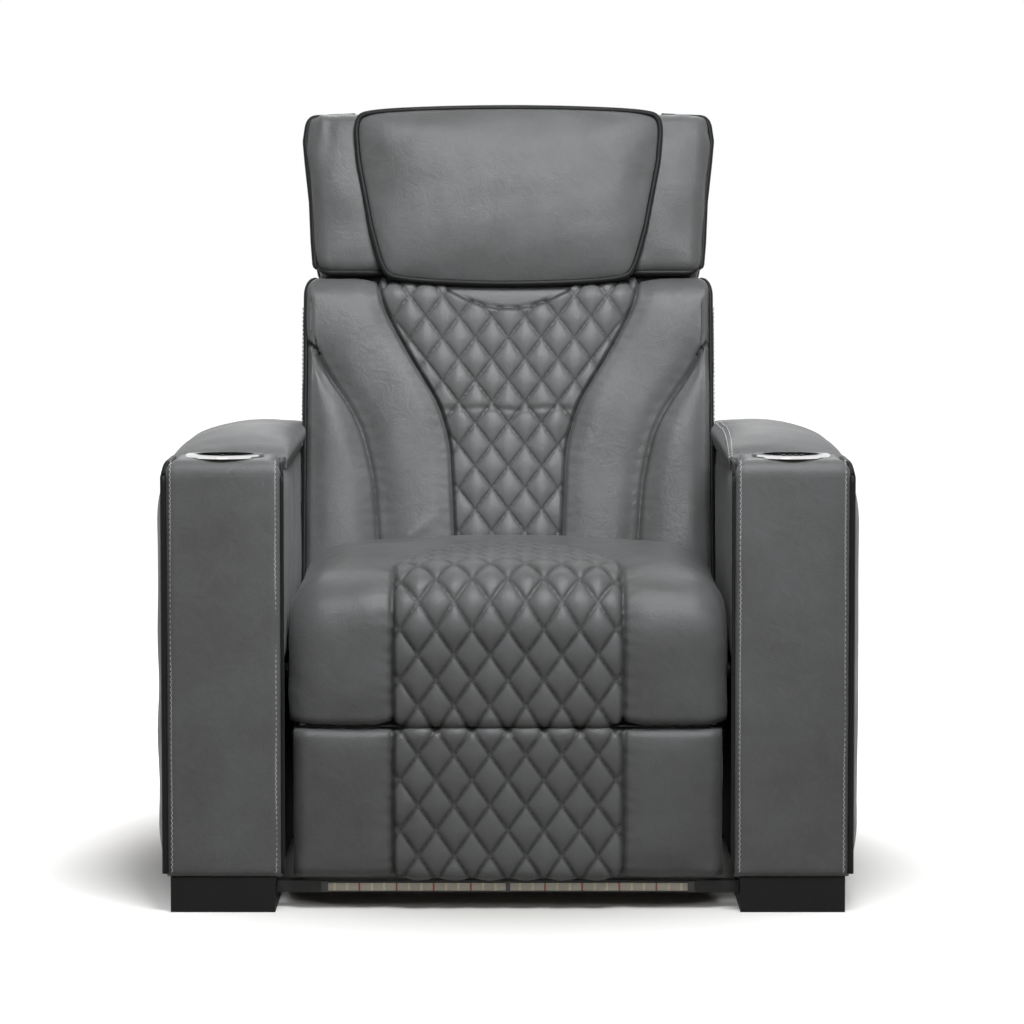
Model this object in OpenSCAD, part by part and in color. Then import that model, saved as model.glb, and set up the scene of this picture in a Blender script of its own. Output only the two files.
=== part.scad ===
// Reclining cinema seat: two storage arms with cup holders, a quilted seat, a powered footrest on
// a folding linkage, a powered back and a powered headrest.
// Millimetres, +Z up, the front faces -Y, the origin lies on the floor under the middle.
// "left" and "right" are as seen from the front. A depth is measured backwards from the front of
// the arms, and at() turns it into Y.

/* [Overall] */
// Clear width between the arms
clear_w = 596; // [580:2:640]
// Width of one arm
arm_w = 162; // [150:2:180]
// Depth of an arm, front to back
arm_d = 830; // [800:5:880]
// Height of the flat top at the front of an arm
arm_h = 607; // [595:1:640]
// Height of the feet
foot_h = 47; // [40:1:55]
// From the front of the arms back to the origin
front_reach = 430.5; // [420:0.5:445]
// Clearance between faces that only touch
touch_gap = 0.3; // [0.2:0.05:0.5]
// Clearance between the boards and bars of a frame
joint_gap = 0.2; // [0.1:0.05:0.4]

/* [Arms] */
// Thickness of the frame boards
board_t = 16; // [12:1:20]
// Padding on the front of an arm
front_pad_t = 18; // [14:1:24]
// Padding on the outer side of an arm
outer_pad_t = 12; // [10:1:16]
// How far the outer side swells past the front panel
outer_swell = 15; // [8:1:20]
// Padding on the inner side of an arm beside the seat
inner_pad_t = 8; // [6:0.5:10]
// Thickness of the inner cover beside the back
inner_skin_t = 2; // [1.5:0.5:3]
// Padding on top of an arm
top_pad_t = 20; // [16:1:24]
// Depth of the padded cap that carries the cup holder
cap_d = 117; // [112:1:124]
// Length of a foot
foot_len = 150; // [120:5:180]
// How far a foot stands back from the sides of its arm
foot_inset = 9; // [6:1:14]

/* [Storage and lids] */
// Gap in front of and behind a lid
lid_gap = 3; // [2:0.5:5]
// Length of a lid, front to back
lid_len = 435; // [420:5:450]
// Thickness of the board in a lid
lid_board_t = 12; // [9:1:14]
// Height of a lid's crown above its board
lid_crown = 30; // [24:1:36]
// How far the lid's inner flank swells over the seat
lid_swell = 7; // [3:1:9]
// How far the arm top falls from the lid to the rear
top_fall = 12; // [6:1:18]
// Wall of the storage tub
tub_wall = 3; // [2:0.5:5]
// Depth of the storage tub
tub_h = 220; // [160:5:260]
// Opening angle of a lid, in degrees
lid_open = 92; // [60:1:95]
// Radius of the lid hinge barrel
lid_barrel_r = 3.5; // [3:0.25:4]
// Radius of the lid hinge pin
lid_pin_r = 1.6; // [1.2:0.1:2]

/* [Cup holders and buttons] */
// Outer radius of the chromed flange
cup_flange_r = 53; // [51:0.5:55]
// Thickness of the flange
cup_flange_t = 4; // [3:0.5:6]
// Radius of the cup bore
cup_bore_r = 38; // [36:0.5:40]
// Depth of the cup bore
cup_bore_d = 66; // [50:1:80]
// Wall of the cup
cup_wall = 2.5; // [2:0.25:4]
// From the front of the arm to the middle of the flange
cup_at = 59; // [58:0.5:62]
// Push button radius
button_r = 2.6; // [2.2:0.1:3]
// Push button travel
button_travel = 1.2; // [0.8:0.1:1.5]
// Height of a button above its pad at rest
button_rise = 1.8; // [1.6:0.1:2.4]

/* [Seat] */
// Half the width of the seat cushion
seat_half = 291; // [284:1:292]
// From the front of the arms back to the seat's front face
seat_front = 20; // [14:1:26]
// Height of the lower edge of the seat's front face
seat_low = 250; // [246:1:256]
// Height of the seat's flat top
seat_top = 450; // [440:1:465]
// Radius of the seat's front roll
seat_roll = 78; // [60:1:90]
// Thickness of the foam behind the seat's front face
apron_t = 55; // [45:1:58]
// Half the width of the quilted middle panel
quilt_half = 155; // [146:1:165]
// Height of a quilted diamond's middle above its stitching
quilt_h = 6; // [3:0.5:8]
// Depth of the sewn seams
seam_depth = 5; // [3:0.5:7]

/* [Footrest] */
// Half the width of the footrest
foot_half = 289; // [280:1:291]
// Height of the lower edge of the footrest
footrest_low = 43; // [42:1:48]
// Gap between the footrest and the seat above it
footrest_gap = 5; // [4:0.5:7]
// Thickness of the footrest's padding
footrest_pad_t = 42; // [36:1:44]
// Thickness of the footrest's board
footrest_board_t = 18; // [15:1:18]
// Swing of the footrest, in degrees
footrest_swing = 90; // [60:1:90]
// Depth of the swing centre
pole_at = 43; // [42:0.5:46]
// Height of the swing centre
pole_z = 352; // [350:0.5:356]
// Depth of the front crank's pin
crank_at = 150; // [146:1:154]
// Height of the front crank's pin
crank_z = 262; // [258:1:264]
// Distance from the swing centre to the rear crank's pin
rear_crank_out = 225; // [220:1:230]
// Working length of the rear crank
rear_crank_len = 124; // [123:0.5:126]
// Working length of the front crank
front_crank_len = 205; // [200:1:208]
// Lean of the folded cranks, in degrees
fold_angle = 26; // [25:0.5:27]
// Thickness of the steel links
link_t = 4; // [3:0.5:4.5]
// Half the width of the steel links
link_half = 11; // [9:0.5:11.5]
// Gap between neighbouring links
link_gap = 1; // [0.6:0.1:1.4]
// Radius of the link pins
pin_r = 4; // [3:0.5:5]
// Radial clearance of a pin in its bore
pin_play = 0.08; // [0.05:0.01:0.1]

/* [Base] */
// Thickness of the steel side plates
plate_t = 4; // [3:0.5:5]
// Inner face of the side plates from the middle
plate_in = 285; // [284:0.5:286]
// Side of the square steel tubes
tube_w = 25; // [20:1:28]
// Height of the lower face of the cross tubes
cross_z = 165; // [160:1:168]
// Height of the side plates' upper edge
plate_top = 328; // [326:1:332]
// Thickness of the elastic webbing
web_t = 2.5; // [2:0.5:3]
// Radius of the round torque tube
torque_r = 10; // [9:0.5:10.5]
// Length of the footrest's drive lug
drive_len = 60; // [55:1:62]
// Length of the back's drive lug
recline_len = 100; // [95:1:105]
// Length of the headrest's drive lug
tilt_len = 100; // [95:1:104]
// Radius of the actuator rods
rod_r = 6; // [5:0.5:7]
// Height of the light rail's lower edge
rail_z = 20; // [15:1:22]
// Height of the light rail
rail_h = 16; // [12:1:18]

/* [Back] */
// Backward lean of the upright back, in degrees
lean = 15; // [12:0.5:17]
// Depth of the back's hinge
hinge_at = 610; // [605:1:615]
// Height of the back's hinge
hinge_z = 310; // [307:1:312]
// Recline of the back, in degrees
recline = 35; // [20:1:35]
// Half the width of the back cushion
back_half = 296; // [290:1:297]
// Cushion face ahead of the hinge
back_face = 72; // [68:1:76]
// Height of the back cushion's lower edge above the hinge
back_low = 34; // [30:1:45]
// Height of the back cushion's upper edge above the hinge
back_high = 515; // [500:1:530]
// Half the width of the quilting at the top of the back
waist_top = 190; // [180:1:200]
// Half the width of the quilting at the bottom of the back
waist_low = 86; // [76:1:96]
// How far the back's bolsters stand proud
bolster_h = 11; // [8:1:14]
// Thickness of the padding behind the back frame
rear_pad_t = 36; // [30:1:44]

/* [Headrest] */
// Gap between the back cushion and the headrest
neck_gap = 17; // [16:0.5:20]
// Height of the headrest
head_h = 245; // [230:1:260]
// Half the width of the headrest at its lower edge
head_low_half = 286; // [280:1:290]
// Half the width of the headrest at its upper edge
head_top_half = 302; // [295:1:306]
// Half the width of the pillow at its upper edge
pillow_top_half = 220; // [210:1:230]
// Half the width of the pillow at its lower edge
pillow_low_half = 192; // [180:1:200]
// How far the pillow stands proud
pillow_t = 34; // [28:1:40]
// Thickness of the headrest's wings
wing_t = 66; // [60:1:68]
// Forward tilt of the headrest, in degrees
tilt = 30; // [15:1:30]
// Headrest hinge behind the cushion face
tilt_in = 12; // [10:0.5:14]
// Thickness of the headrest's rear cover
head_rear_t = 52; // [40:1:56]

/* [Hidden] */
$fn = 48;
// Everything cut right through runs past by this
over = 1;
leather = [0.36, 0.37, 0.38];
black = [0.06, 0.06, 0.06];
steel = [0.55, 0.56, 0.58];
wood = [0.74, 0.62, 0.45];
chrome = [0.86, 0.87, 0.89];
plastic = [0.14, 0.14, 0.15];
strip_white = [0.92, 0.92, 0.86];
sides = [-1, 1];
arm_in = clear_w / 2;
arm_out = arm_in + arm_w;
arm_mid = (arm_in + arm_out) / 2;
board_in = arm_in + inner_pad_t;
board_out = arm_out - outer_pad_t;
well_in = board_in + board_t + joint_gap;
well_out = board_out - board_t - joint_gap;
frame_rear = arm_d - inner_pad_t;
rim_z = arm_h - top_pad_t;
lid_front = cap_d + lid_gap;
lid_rear = lid_front + lid_len;
lid_board_low = rim_z + touch_gap;
lid_board_top = lid_board_low + lid_board_t;
lid_axis_at = lid_rear + 2 * touch_gap + lid_barrel_r;
lid_axis_z = lid_board_top + lid_height(1) - lid_barrel_r;
top_front = lid_axis_at + lid_barrel_r + touch_gap;
cup_r = cup_bore_r + cup_wall;
cup_top = arm_h + cup_flange_t;
cup_low = cup_top - cup_bore_d - cup_wall;
pad_in_r = cup_bore_r + cup_wall + cup_wall / 2;
pad_out_r = cup_flange_r - cup_wall;
pad_half_angle = 26;
pad_floor = cup_flange_t / 2;
button_ring_r = (pad_in_r + pad_out_r) / 2;
button_top = cup_flange_t + button_rise;
button_step = 10;
crank_in = plate_in - link_gap - link_t;
coupler_in = crank_in - link_gap - link_t;
bracket_in = coupler_in - link_gap - link_t;
head_out = link_gap - joint_gap / 2;
link_slope = atan2(pole_z - crank_z, crank_at - pole_at);
rear_crank_at = pole_at + rear_crank_out * cos(link_slope);
rear_crank_z = pole_z - rear_crank_out * sin(link_slope);
front_crank_out = norm([crank_at - pole_at, pole_z - crank_z]);
footrest_face = seat_front - seat_front / 10;
footrest_back = footrest_face + footrest_pad_t + touch_gap;
footrest_top = seat_low - footrest_gap;
cushion_low = plate_top + web_t;
frame_low = plate_top - tube_w;
seat_frame_front = seat_front + apron_t + link_gap * 5;
seat_rear_low = back_plane(cushion_low);
mid_tube_at = 300;
rear_tube_at = 500;
tube_top = cross_z + tube_w;
drive_x = 70;
drive_z = crank_z - drive_len * (1 + cos(footrest_swing / 2)) / 2;
drive_travel = 2 * drive_len * sin(footrest_swing / 2);
drive_pin_at = crank_at + drive_len * sin(footrest_swing / 2);
recline_z = hinge_z - recline_len * (1 + cos(recline / 2)) / 2;
recline_travel = 2 * recline_len * sin(recline / 2);
recline_pin_at = hinge_at + recline_len * sin(recline / 2);
tilt_y = tilt_in - back_face;
tilt_z = back_high + neck_gap / 2;
tilt_rod_y = tilt_y + tilt_len * (1 + cos(tilt / 2)) / 2;
tilt_travel = 2 * tilt_len * sin(tilt / 2);
tilt_pin_z = tilt_z - tilt_len * sin(tilt / 2);
head_low = back_high + neck_gap;
upright_x = crank_in - tube_w;
frame_face = back_face / 36;
motor_half = 20;
bolt_r = 4;
bolt_head_r = 7;
bolt_head_t = 4;
bolt_play = 0.3;

// Y of a depth measured from the front of the arms
function at(depth) = depth - front_reach;
// Runs from 0 to 1 as v goes from a to b, and stays level outside them
function ramp(v, a, b) = max(0, min(1, (v - a) / (b - a)));
// Depth of the plane that the back cushion's bolsters end at, with its clearance
function back_plane(z) = hinge_at - touch_gap
    + ((z - hinge_z) * sin(lean) - back_face - bolster_h - quilt_h / 4) / cos(lean);
// The same with soft ends
function soft_ramp(v, a, b) = (1 - cos(180 * ramp(v, a, b))) / 2;
function mix(a, b, share) = a + (b - a) * share;
// Drop of a rounded edge: 0 inside the round, 1 at the very edge
function round_drop(v, edge, r) = 1 - sqrt(1 - pow(ramp(v, edge - r, edge), 2));
// A checkerboard for quilting: low where stitches cross, high in the middle of a diamond
function quilted(i, j) = (i + j) % 2 == 0 ? 0 : 1;

// Closed skin over stations. Each station holds its outer points, then its inner points backwards.
// Cell diagonals follow the quilting's checkerboard, and the ends are closed in strips.
module skin(stations) {
    n = len(stations);
    m = len(stations[0]);
    k = m / 2;
    points = [for (s = stations) each s];
    walls = [for (i = [0 : n - 2], j = [0 : m - 1])
        let (a = i * m + j, b = i * m + (j + 1) % m, c = b + m, d = a + m)
        each ((i + j) % 2 == 0 ? [[a, b, c], [a, c, d]] : [[a, b, d], [b, c, d]])];
    first = [for (j = [0 : k - 2])
        let (a = j, b = j + 1, c = m - 2 - j, d = m - 1 - j) each [[a, d, c], [a, c, b]]];
    last = [for (f = first) [for (v = [2 : -1 : 0]) f[v] + (n - 1) * m]];
    polyhedron(points, concat(walls, first, last));
}

// Box from its two opposite corners
module span(low, high) {
    translate(low) cube(high - low);
}

// Box beside the arm: inner and outer X, front and rear depth, lower and upper Z
module slab(x0, x1, d0, d1, z0, z1) {
    span([x0, at(d0), z0], [x1, at(d1), z1]);
}

module mirrored(s) {
    if (s < 0) mirror([1, 0, 0]) children();
    else children();
}

// Round bar along X from x0 to x1 at a depth and height
module bar_x(x0, x1, d, z, r) {
    translate([x0, at(d), z]) rotate([0, 90, 0]) cylinder(r = r, h = x1 - x0);
}

// Flat link in the side view between two points, in X from x0 outwards, with bores at the points
module link(x0, from, to, half = link_half, bores = [], bore_r = pin_r + pin_play) {
    length = norm(to - from);
    angle = atan2(to[1] - from[1], to[0] - from[0]);
    difference() {
        union() {
            translate([x0, at(from[0]), from[1]]) rotate([angle, 0, 0])
                translate([0, 0, -half * 0.86]) cube([link_t, length, 2 * half * 0.86]);
            bar_x(x0, x0 + link_t, from[0], from[1], half);
            bar_x(x0, x0 + link_t, to[0], to[1], half);
        }
        for (b = bores) bar_x(x0 - over, x0 + link_t + over, b[0], b[1], bore_r);
    }
}

// Turns a point of the side view given along a folded crank into depth and height
function along_crank(from, length) =
    [from[0] + length * sin(fold_angle), from[1] - length * cos(fold_angle)];
pole = [pole_at, pole_z];
front_pin = [crank_at, crank_z];
rear_pin = [rear_crank_at, rear_crank_z];
front_mid_pin = along_crank(front_pin, rear_crank_len);
front_end_pin = along_crank(front_pin, front_crank_len);
rear_end_pin = along_crank(rear_pin, rear_crank_len);
upper_bracket_pin = along_crank(pole, rear_crank_len);
lower_bracket_pin = along_crank(pole, front_crank_len);

// Places children in the back's own axes: Y backwards from the hinge, Z up along the back
module back_axes() {
    translate([0, at(hinge_at), hinge_z]) rotate([-lean, 0, 0]) children();
}

// Arms

module feet() color(black) for (s = sides) mirrored(s)
    for (d = [foot_inset / 2, frame_rear - foot_len])
        difference() {
            slab(arm_in + foot_inset + inner_pad_t / 2, arm_out - foot_inset, d, d + foot_len,
                0, foot_h);
            for (share = foot_bolt_shares)
                translate([arm_mid, at(d + foot_len * share), -over]) {
                    cylinder(r = bolt_r + bolt_play, h = foot_h + 2 * over);
                    cylinder(r = bolt_head_r + bolt_play, h = bolt_head_t * 2 + over);
                }
        }
foot_bolt_shares = [0.3, 0.7];

// Bolts that hold the feet up into the arms, and the arms against the side plates
module bolts() color(steel) for (s = sides) mirrored(s) {
    for (d = [foot_inset / 2, frame_rear - foot_len], share = foot_bolt_shares)
        translate([arm_mid, at(d + foot_len * share), bolt_head_t]) {
            cylinder(r = bolt_head_r, h = bolt_head_t, $fn = 6);
            cylinder(r = bolt_r, h = foot_h + board_t - bolt_head_t);
        }
    for (p = arm_bolt_places) {
        bar_x(plate_in - bolt_head_t, plate_in, p[0], p[1], bolt_head_r);
        bar_x(plate_in - bolt_head_t, board_in + board_t, p[0], p[1], bolt_r);
    }
}
arm_bolt_high = plate_top - tube_w * 0.7;
arm_bolt_low = cross_z + tube_w;
arm_bolt_places = [
    [crank_at - 2 * bolt_head_r, arm_bolt_high], [mid_tube_at + 2 * tube_w, arm_bolt_high],
    [rear_tube_at + tube_w, arm_bolt_high], [mid_tube_at + 2 * tube_w, arm_bolt_low],
    [rear_tube_at - tube_w, arm_bolt_low]
];

// Boxed wooden frame of one arm, board by board
module arm_frame(s) color(wood) mirrored(s) {
    difference() {
        slab(board_in, board_in + board_t, front_pad_t, frame_rear, foot_h, rim_z);
        for (p = arm_bolt_places)
            bar_x(board_in - over, board_in + board_t + over, p[0], p[1], bolt_r + bolt_play);
    }
    slab(board_out - board_t, board_out, front_pad_t, frame_rear, foot_h, rim_z);
    difference() {
        slab(well_in, well_out, front_pad_t, frame_rear, foot_h, foot_h + board_t);
        for (d = [foot_inset / 2, frame_rear - foot_len], share = foot_bolt_shares)
            translate([arm_mid, at(d + foot_len * share), foot_h - over])
                cylinder(r = bolt_r + bolt_play, h = board_t + 2 * over);
    }
    slab(well_in, well_out, front_pad_t, front_pad_t + board_t, upright_low,
        cup_low - joint_gap);
    slab(well_in, well_out, frame_rear - board_t, frame_rear, upright_low, rim_z);
    slab(well_in, well_out, cap_d - board_t, cap_d, upright_low, rim_z);
    slab(well_in, well_out, lid_rear, lid_rear + board_t, upright_low, rim_z - lid_board_t);
    slab(well_in, well_out, cap_d + joint_gap, lid_rear - joint_gap, shelf_z - board_t, shelf_z);
    slab(well_in, well_out, top_front, frame_rear - board_t - joint_gap, rim_z - board_t, rim_z);
}
upright_low = foot_h + board_t + joint_gap;
shelf_z = rim_z - tub_h;
module arm_frame_left() arm_frame(-1);
module arm_frame_right() arm_frame(1);

// Outer sides, swelling quickly from the edges
swell_across_shares = [0, 0.012, 0.04, 0.12, 0.35, 0.65, 0.9, 0.98, 1];
swell_up_shares = [0, 0.03, 0.09, 0.25, 0.75, 0.91, 0.98, 1];
function swell(share) = pow(1 - pow(abs(2 * share - 1), 6), 0.5);
module arm_outer_panels() color(leather) for (s = sides) mirrored(s) skin([
    for (v = swell_up_shares)
        let (z = mix(foot_h, rim_z - lid_gap, v))
        [for (u = swell_across_shares)
            [board_out + joint_gap + outer_pad_t / 3
                + (outer_pad_t * 2 / 3 + outer_swell) * swell(u) * swell(v),
             at(mix(front_pad_t + joint_gap, arm_d, u)), z],
         for (i = [len(swell_across_shares) - 1 : -1 : 0])
            [board_out + joint_gap, at(mix(front_pad_t + joint_gap, arm_d,
                swell_across_shares[i])), z]]
]);

// Inner sides: padded beside the seat, thin beside the back
inner_shares = [0, 0.02, 0.08, 0.3, 0.56, 0.61, 0.66, 1];
inner_up_shares = [0, 0.06, 0.5, 0.94, 1];
module arm_inner_panels() color(leather) for (s = sides) mirrored(s) skin([
    for (v = inner_up_shares)
        let (z = mix(plate_top + lid_gap, rim_z - joint_gap, v))
        [for (i = [len(inner_shares) - 1 : -1 : 0])
            let (u = inner_shares[i], d = mix(front_pad_t + joint_gap, frame_rear, u),
                thick = mix(inner_pad_t * swell(v * 0.98 + 0.01), inner_skin_t,
                    soft_ramp(u, 0.56, 0.66)))
            [board_in - joint_gap - max(inner_skin_t, thick - joint_gap), at(d), z],
         for (u = inner_shares)
            [board_in - joint_gap, at(mix(front_pad_t + joint_gap, frame_rear, u)), z]]
]);

// Front panel that rolls over onto the cup holder's cap
cover_across_shares = [0, 0.02, 0.06, 0.2, 0.8, 0.93, 0.98, 1];
cover_roll = 16;
cover_path = [
    [0, foot_h], [0, mix(foot_h, arm_h, 0.35)], [0, mix(foot_h, arm_h, 0.7)],
    for (a = [0 : 22.5 : 90])
        [cover_roll * (1 - cos(a)), arm_h - cover_roll * (1 - sin(a))],
    [cap_d / 2, arm_h], [cap_d, arm_h]
];
cover_inner_path = [
    [front_pad_t, foot_h], [front_pad_t, mix(foot_h, arm_h, 0.35)],
    [front_pad_t, mix(foot_h, arm_h, 0.7)],
    for (a = [0 : 22.5 : 90]) [front_pad_t - joint_gap * (1 - cos(a)), mix(arm_h - top_pad_t
        - cover_roll * (1 - a / 90), rim_z + joint_gap, a / 90)],
    [cap_d / 2, rim_z + joint_gap], [cap_d, rim_z + joint_gap]
];
function cover_inset(u) = outer_pad_t / 2 * (round_drop(u, 1, 0.07) + round_drop(1 - u, 1, 0.04));
module arm_front_cover(s) color(leather) mirrored(s) difference() {
    skin([for (u = cover_across_shares)
        let (x = mix(arm_in, arm_out, u), in = cover_inset(u))
        [for (p = cover_path)
            let (up = ramp(p[1], arm_h - 2 * cover_roll, arm_h))
            [x - outer_pad_t / 2 * ramp(u, 0.5, 1) * up,
                at(p[0] + in * (1 - up / 2) * (1 - ramp(p[0], 0, cap_d / 2))),
                p[1] - in * up],
         for (i = [len(cover_path) - 1 : -1 : 0])
            let (p = cover_inner_path[i], q = cover_path[i],
                up = ramp(q[1], arm_h - 2 * cover_roll, arm_h))
            [x - outer_pad_t / 2 * ramp(u, 0.5, 1) * up, at(p[0]), p[1]]]]);
    translate([arm_mid, at(cup_at), rim_z - over])
        cylinder(r = cup_r + touch_gap, h = top_pad_t + 2 * over);
}
module arm_front_cover_left() arm_front_cover(-1);
module arm_front_cover_right() arm_front_cover(1);

// Crown across an arm top: 0 at the sides, 1 along the middle
across_shares = [0, 0.04, 0.13, 0.3, 0.5, 0.7, 0.87, 0.96, 1];
function crown(u) = pow(1 - pow(abs(2 * u - 1), 2.6), 0.6);

// Fixed padded tops behind the lids
rear_top_shares = [0, 0.06, 0.5, 0.9, 0.97, 1];
module arm_rear_tops() color(leather) for (s = sides) mirrored(s) skin([
    for (v = rear_top_shares)
        let (d = mix(top_front, arm_d, v),
            high = (top_pad_t + lid_board_t / 2 - top_fall * v)
                * (1 - round_drop(v, 1, 0.1) * 0.4 - round_drop(1 - v, 1, 0.06) * 0.25))
        [for (i = [len(across_shares) - 1 : -1 : 0])
            let (u = across_shares[i])
            [mix(arm_in + inner_pad_t - inner_skin_t, arm_out, u), at(d),
                rim_z + joint_gap + high * (0.5 + 0.5 * crown(u))],
         for (u = across_shares)
            [mix(arm_in + inner_pad_t - inner_skin_t, arm_out, u), at(d), rim_z + joint_gap]]
]);

// Cup holders, controls and storage

module cup_holder(s) color(chrome) mirrored(s) translate([arm_mid, at(cup_at), 0])
    difference() {
        union() {
            translate([0, 0, arm_h]) cylinder(r = cup_flange_r, h = cup_flange_t / 2);
            translate([0, 0, arm_h + cup_flange_t / 2])
                cylinder(r1 = cup_flange_r, r2 = cup_flange_r - cup_flange_t / 2,
                    h = cup_flange_t / 2);
            translate([0, 0, cup_low])
                cylinder(r = cup_r, h = cup_bore_d + cup_wall);
        }
        translate([0, 0, cup_top - cup_bore_d]) cylinder(r = cup_bore_r, h = cup_bore_d + over);
        translate([0, 0, arm_h + cup_flange_t - pad_floor])
            linear_extrude(pad_floor + over) pad_outline(0);
        for (place = button_places(s)) button_at(place)
            translate([0, 0, arm_h - over])
                cylinder(r = button_r + pin_play, h = cup_flange_t + over);
    }
// Curved outline of a control pad, drawn in by a clearance
module pad_outline(inset) intersection() {
    difference() {
        circle(r = pad_out_r - inset);
        circle(r = pad_in_r + inset);
    }
    polygon([[0, 0], [-cup_flange_r * sin(pad_half_angle), -cup_flange_r],
        [cup_flange_r * sin(pad_half_angle), -cup_flange_r]]);
}
// Angles of the buttons along the pad: one on the left arm, four on the right
function button_places(s) = s < 0 ? [0] : [for (i = [0 : 3]) (i - 1.5) * button_step];
module button_at(angle) rotate([0, 0, angle]) translate([0, -button_ring_r, 0]) children();
module cup_holder_left() cup_holder(-1);
module cup_holder_right() cup_holder(1);

module control_pads() color(plastic) for (s = sides) mirrored(s)
    translate([arm_mid, at(cup_at), cup_top - pad_floor]) difference() {
        linear_extrude(pad_floor) pad_outline(pin_play);
        for (place = button_places(s)) button_at(place)
            translate([0, 0, -over]) cylinder(r = button_r + pin_play, h = pad_floor + 2 * over);
    }

module button(s, i) color(black) mirrored(s) translate([arm_mid, at(cup_at), arm_h])
    button_at(button_places(s)[i])
        rotate_extrude() polygon([[0, button_travel + joint_gap],
            [button_r, button_travel + joint_gap], [button_r, button_top - cup_wall / 5],
            [button_r - cup_wall / 5, button_top], [0, button_top]]);
module light_button() button(-1, 0);
module footrest_up_button() button(1, 0);
module footrest_down_button() button(1, 1);
module head_up_button() button(1, 2);
module head_down_button() button(1, 3);

module storage_tub(s) color(plastic) mirrored(s) difference() {
    slab(well_in + joint_gap, well_out - joint_gap, cap_d + touch_gap, lid_rear - touch_gap,
        shelf_z, rim_z - joint_gap);
    slab(well_in + joint_gap + tub_wall, well_out - joint_gap - tub_wall,
        cap_d + touch_gap + tub_wall, lid_rear - touch_gap - tub_wall,
        shelf_z + tub_wall, rim_z + over);
}
module storage_tub_left() storage_tub(-1);
module storage_tub_right() storage_tub(1);

// Padded lid: crowned along and across, with a flank that swells inwards over the seat
lid_along_shares = [0, 0.015, 0.05, 0.12, 0.35, 0.65, 0.95, 0.985, 1];
lid_flank_shares = [0, 0.25, 0.5, 0.75];
function lid_height(v) = lid_crown - top_fall / 2 * v
    - lid_crown * (0.75 * round_drop(1 - v, 1, 0.12) + 0.4 * round_drop(v, 1, 0.05));
module arm_lid(s) color(leather) mirrored(s) skin([
    for (v = lid_along_shares)
        let (d = mix(lid_front, lid_rear, v), high = lid_height(v),
            edge = lid_board_top + high * 0.42,
            bulge = lid_swell * swell(mix(0.03, 0.97, v)))
        [for (i = [len(across_shares) - 1 : -1 : 0])
            let (u = across_shares[i])
            [mix(arm_in + lid_gap / 2, arm_out - lid_gap / 2, u), at(d),
                mix(edge, lid_board_top + high, crown(u))],
         for (i = [len(lid_flank_shares) - 1 : -1 : 0])
            let (t = lid_flank_shares[i])
            [arm_in + lid_gap / 2 - bulge * sin(180 * mix(0.12, 1, t)), at(d),
                mix(lid_board_low, edge, t)],
         for (t = lid_flank_shares)
            [board_in - touch_gap, at(d), mix(lid_board_low, lid_board_top + joint_gap, t)],
         for (u = across_shares)
            [mix(board_in - touch_gap, arm_out - lid_gap, u), at(d),
                lid_board_top + joint_gap]]
]);
module arm_lid_left() arm_lid(-1);
module arm_lid_right() arm_lid(1);

module lid_board(s) color(wood) mirrored(s)
    slab(board_in, arm_out - 2 * lid_gap, lid_front + lid_gap, lid_rear - touch_gap,
        lid_board_low, lid_board_top);
module lid_board_left() lid_board(-1);
module lid_board_right() lid_board(1);

// Hinges at the rear of the lids: two fixed knuckles with the pin, one moving knuckle between them
knuckle = arm_w / 6;
leaf_t = 2;
module lid_hinge_bases() color(steel) for (s = sides) mirrored(s) {
    for (side = sides) {
        x = arm_mid + side * knuckle - knuckle / 2;
        difference() {
            union() {
                bar_x(x, x + knuckle - joint_gap, lid_axis_at, lid_axis_z, lid_barrel_r);
                slab(x, x + knuckle - joint_gap, top_front - touch_gap - leaf_t,
                    top_front - touch_gap, rim_z - lid_board_t, lid_axis_z);
            }
            bar_x(x - over, x + knuckle + over, lid_axis_at, lid_axis_z, lid_pin_r);
        }
    }
    bar_x(arm_mid - 1.5 * knuckle, arm_mid + 1.5 * knuckle - joint_gap, lid_axis_at,
        lid_axis_z, lid_pin_r);
}
module lid_leaf(s) color(steel) mirrored(s) difference() {
    union() {
        bar_x(arm_mid - knuckle / 2 + joint_gap, arm_mid + knuckle / 2 - 2 * joint_gap,
            lid_axis_at, lid_axis_z, lid_barrel_r);
        slab(arm_mid - knuckle / 2 + joint_gap, arm_mid + knuckle / 2 - 2 * joint_gap,
            lid_rear + joint_gap, lid_rear + joint_gap + leaf_t, lid_board_low, lid_axis_z);
    }
    bar_x(arm_mid - knuckle, arm_mid + knuckle, lid_axis_at, lid_axis_z, lid_pin_r + pin_play);
}
module lid_leaf_left() lid_leaf(-1);
module lid_leaf_right() lid_leaf(1);

// Base

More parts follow.
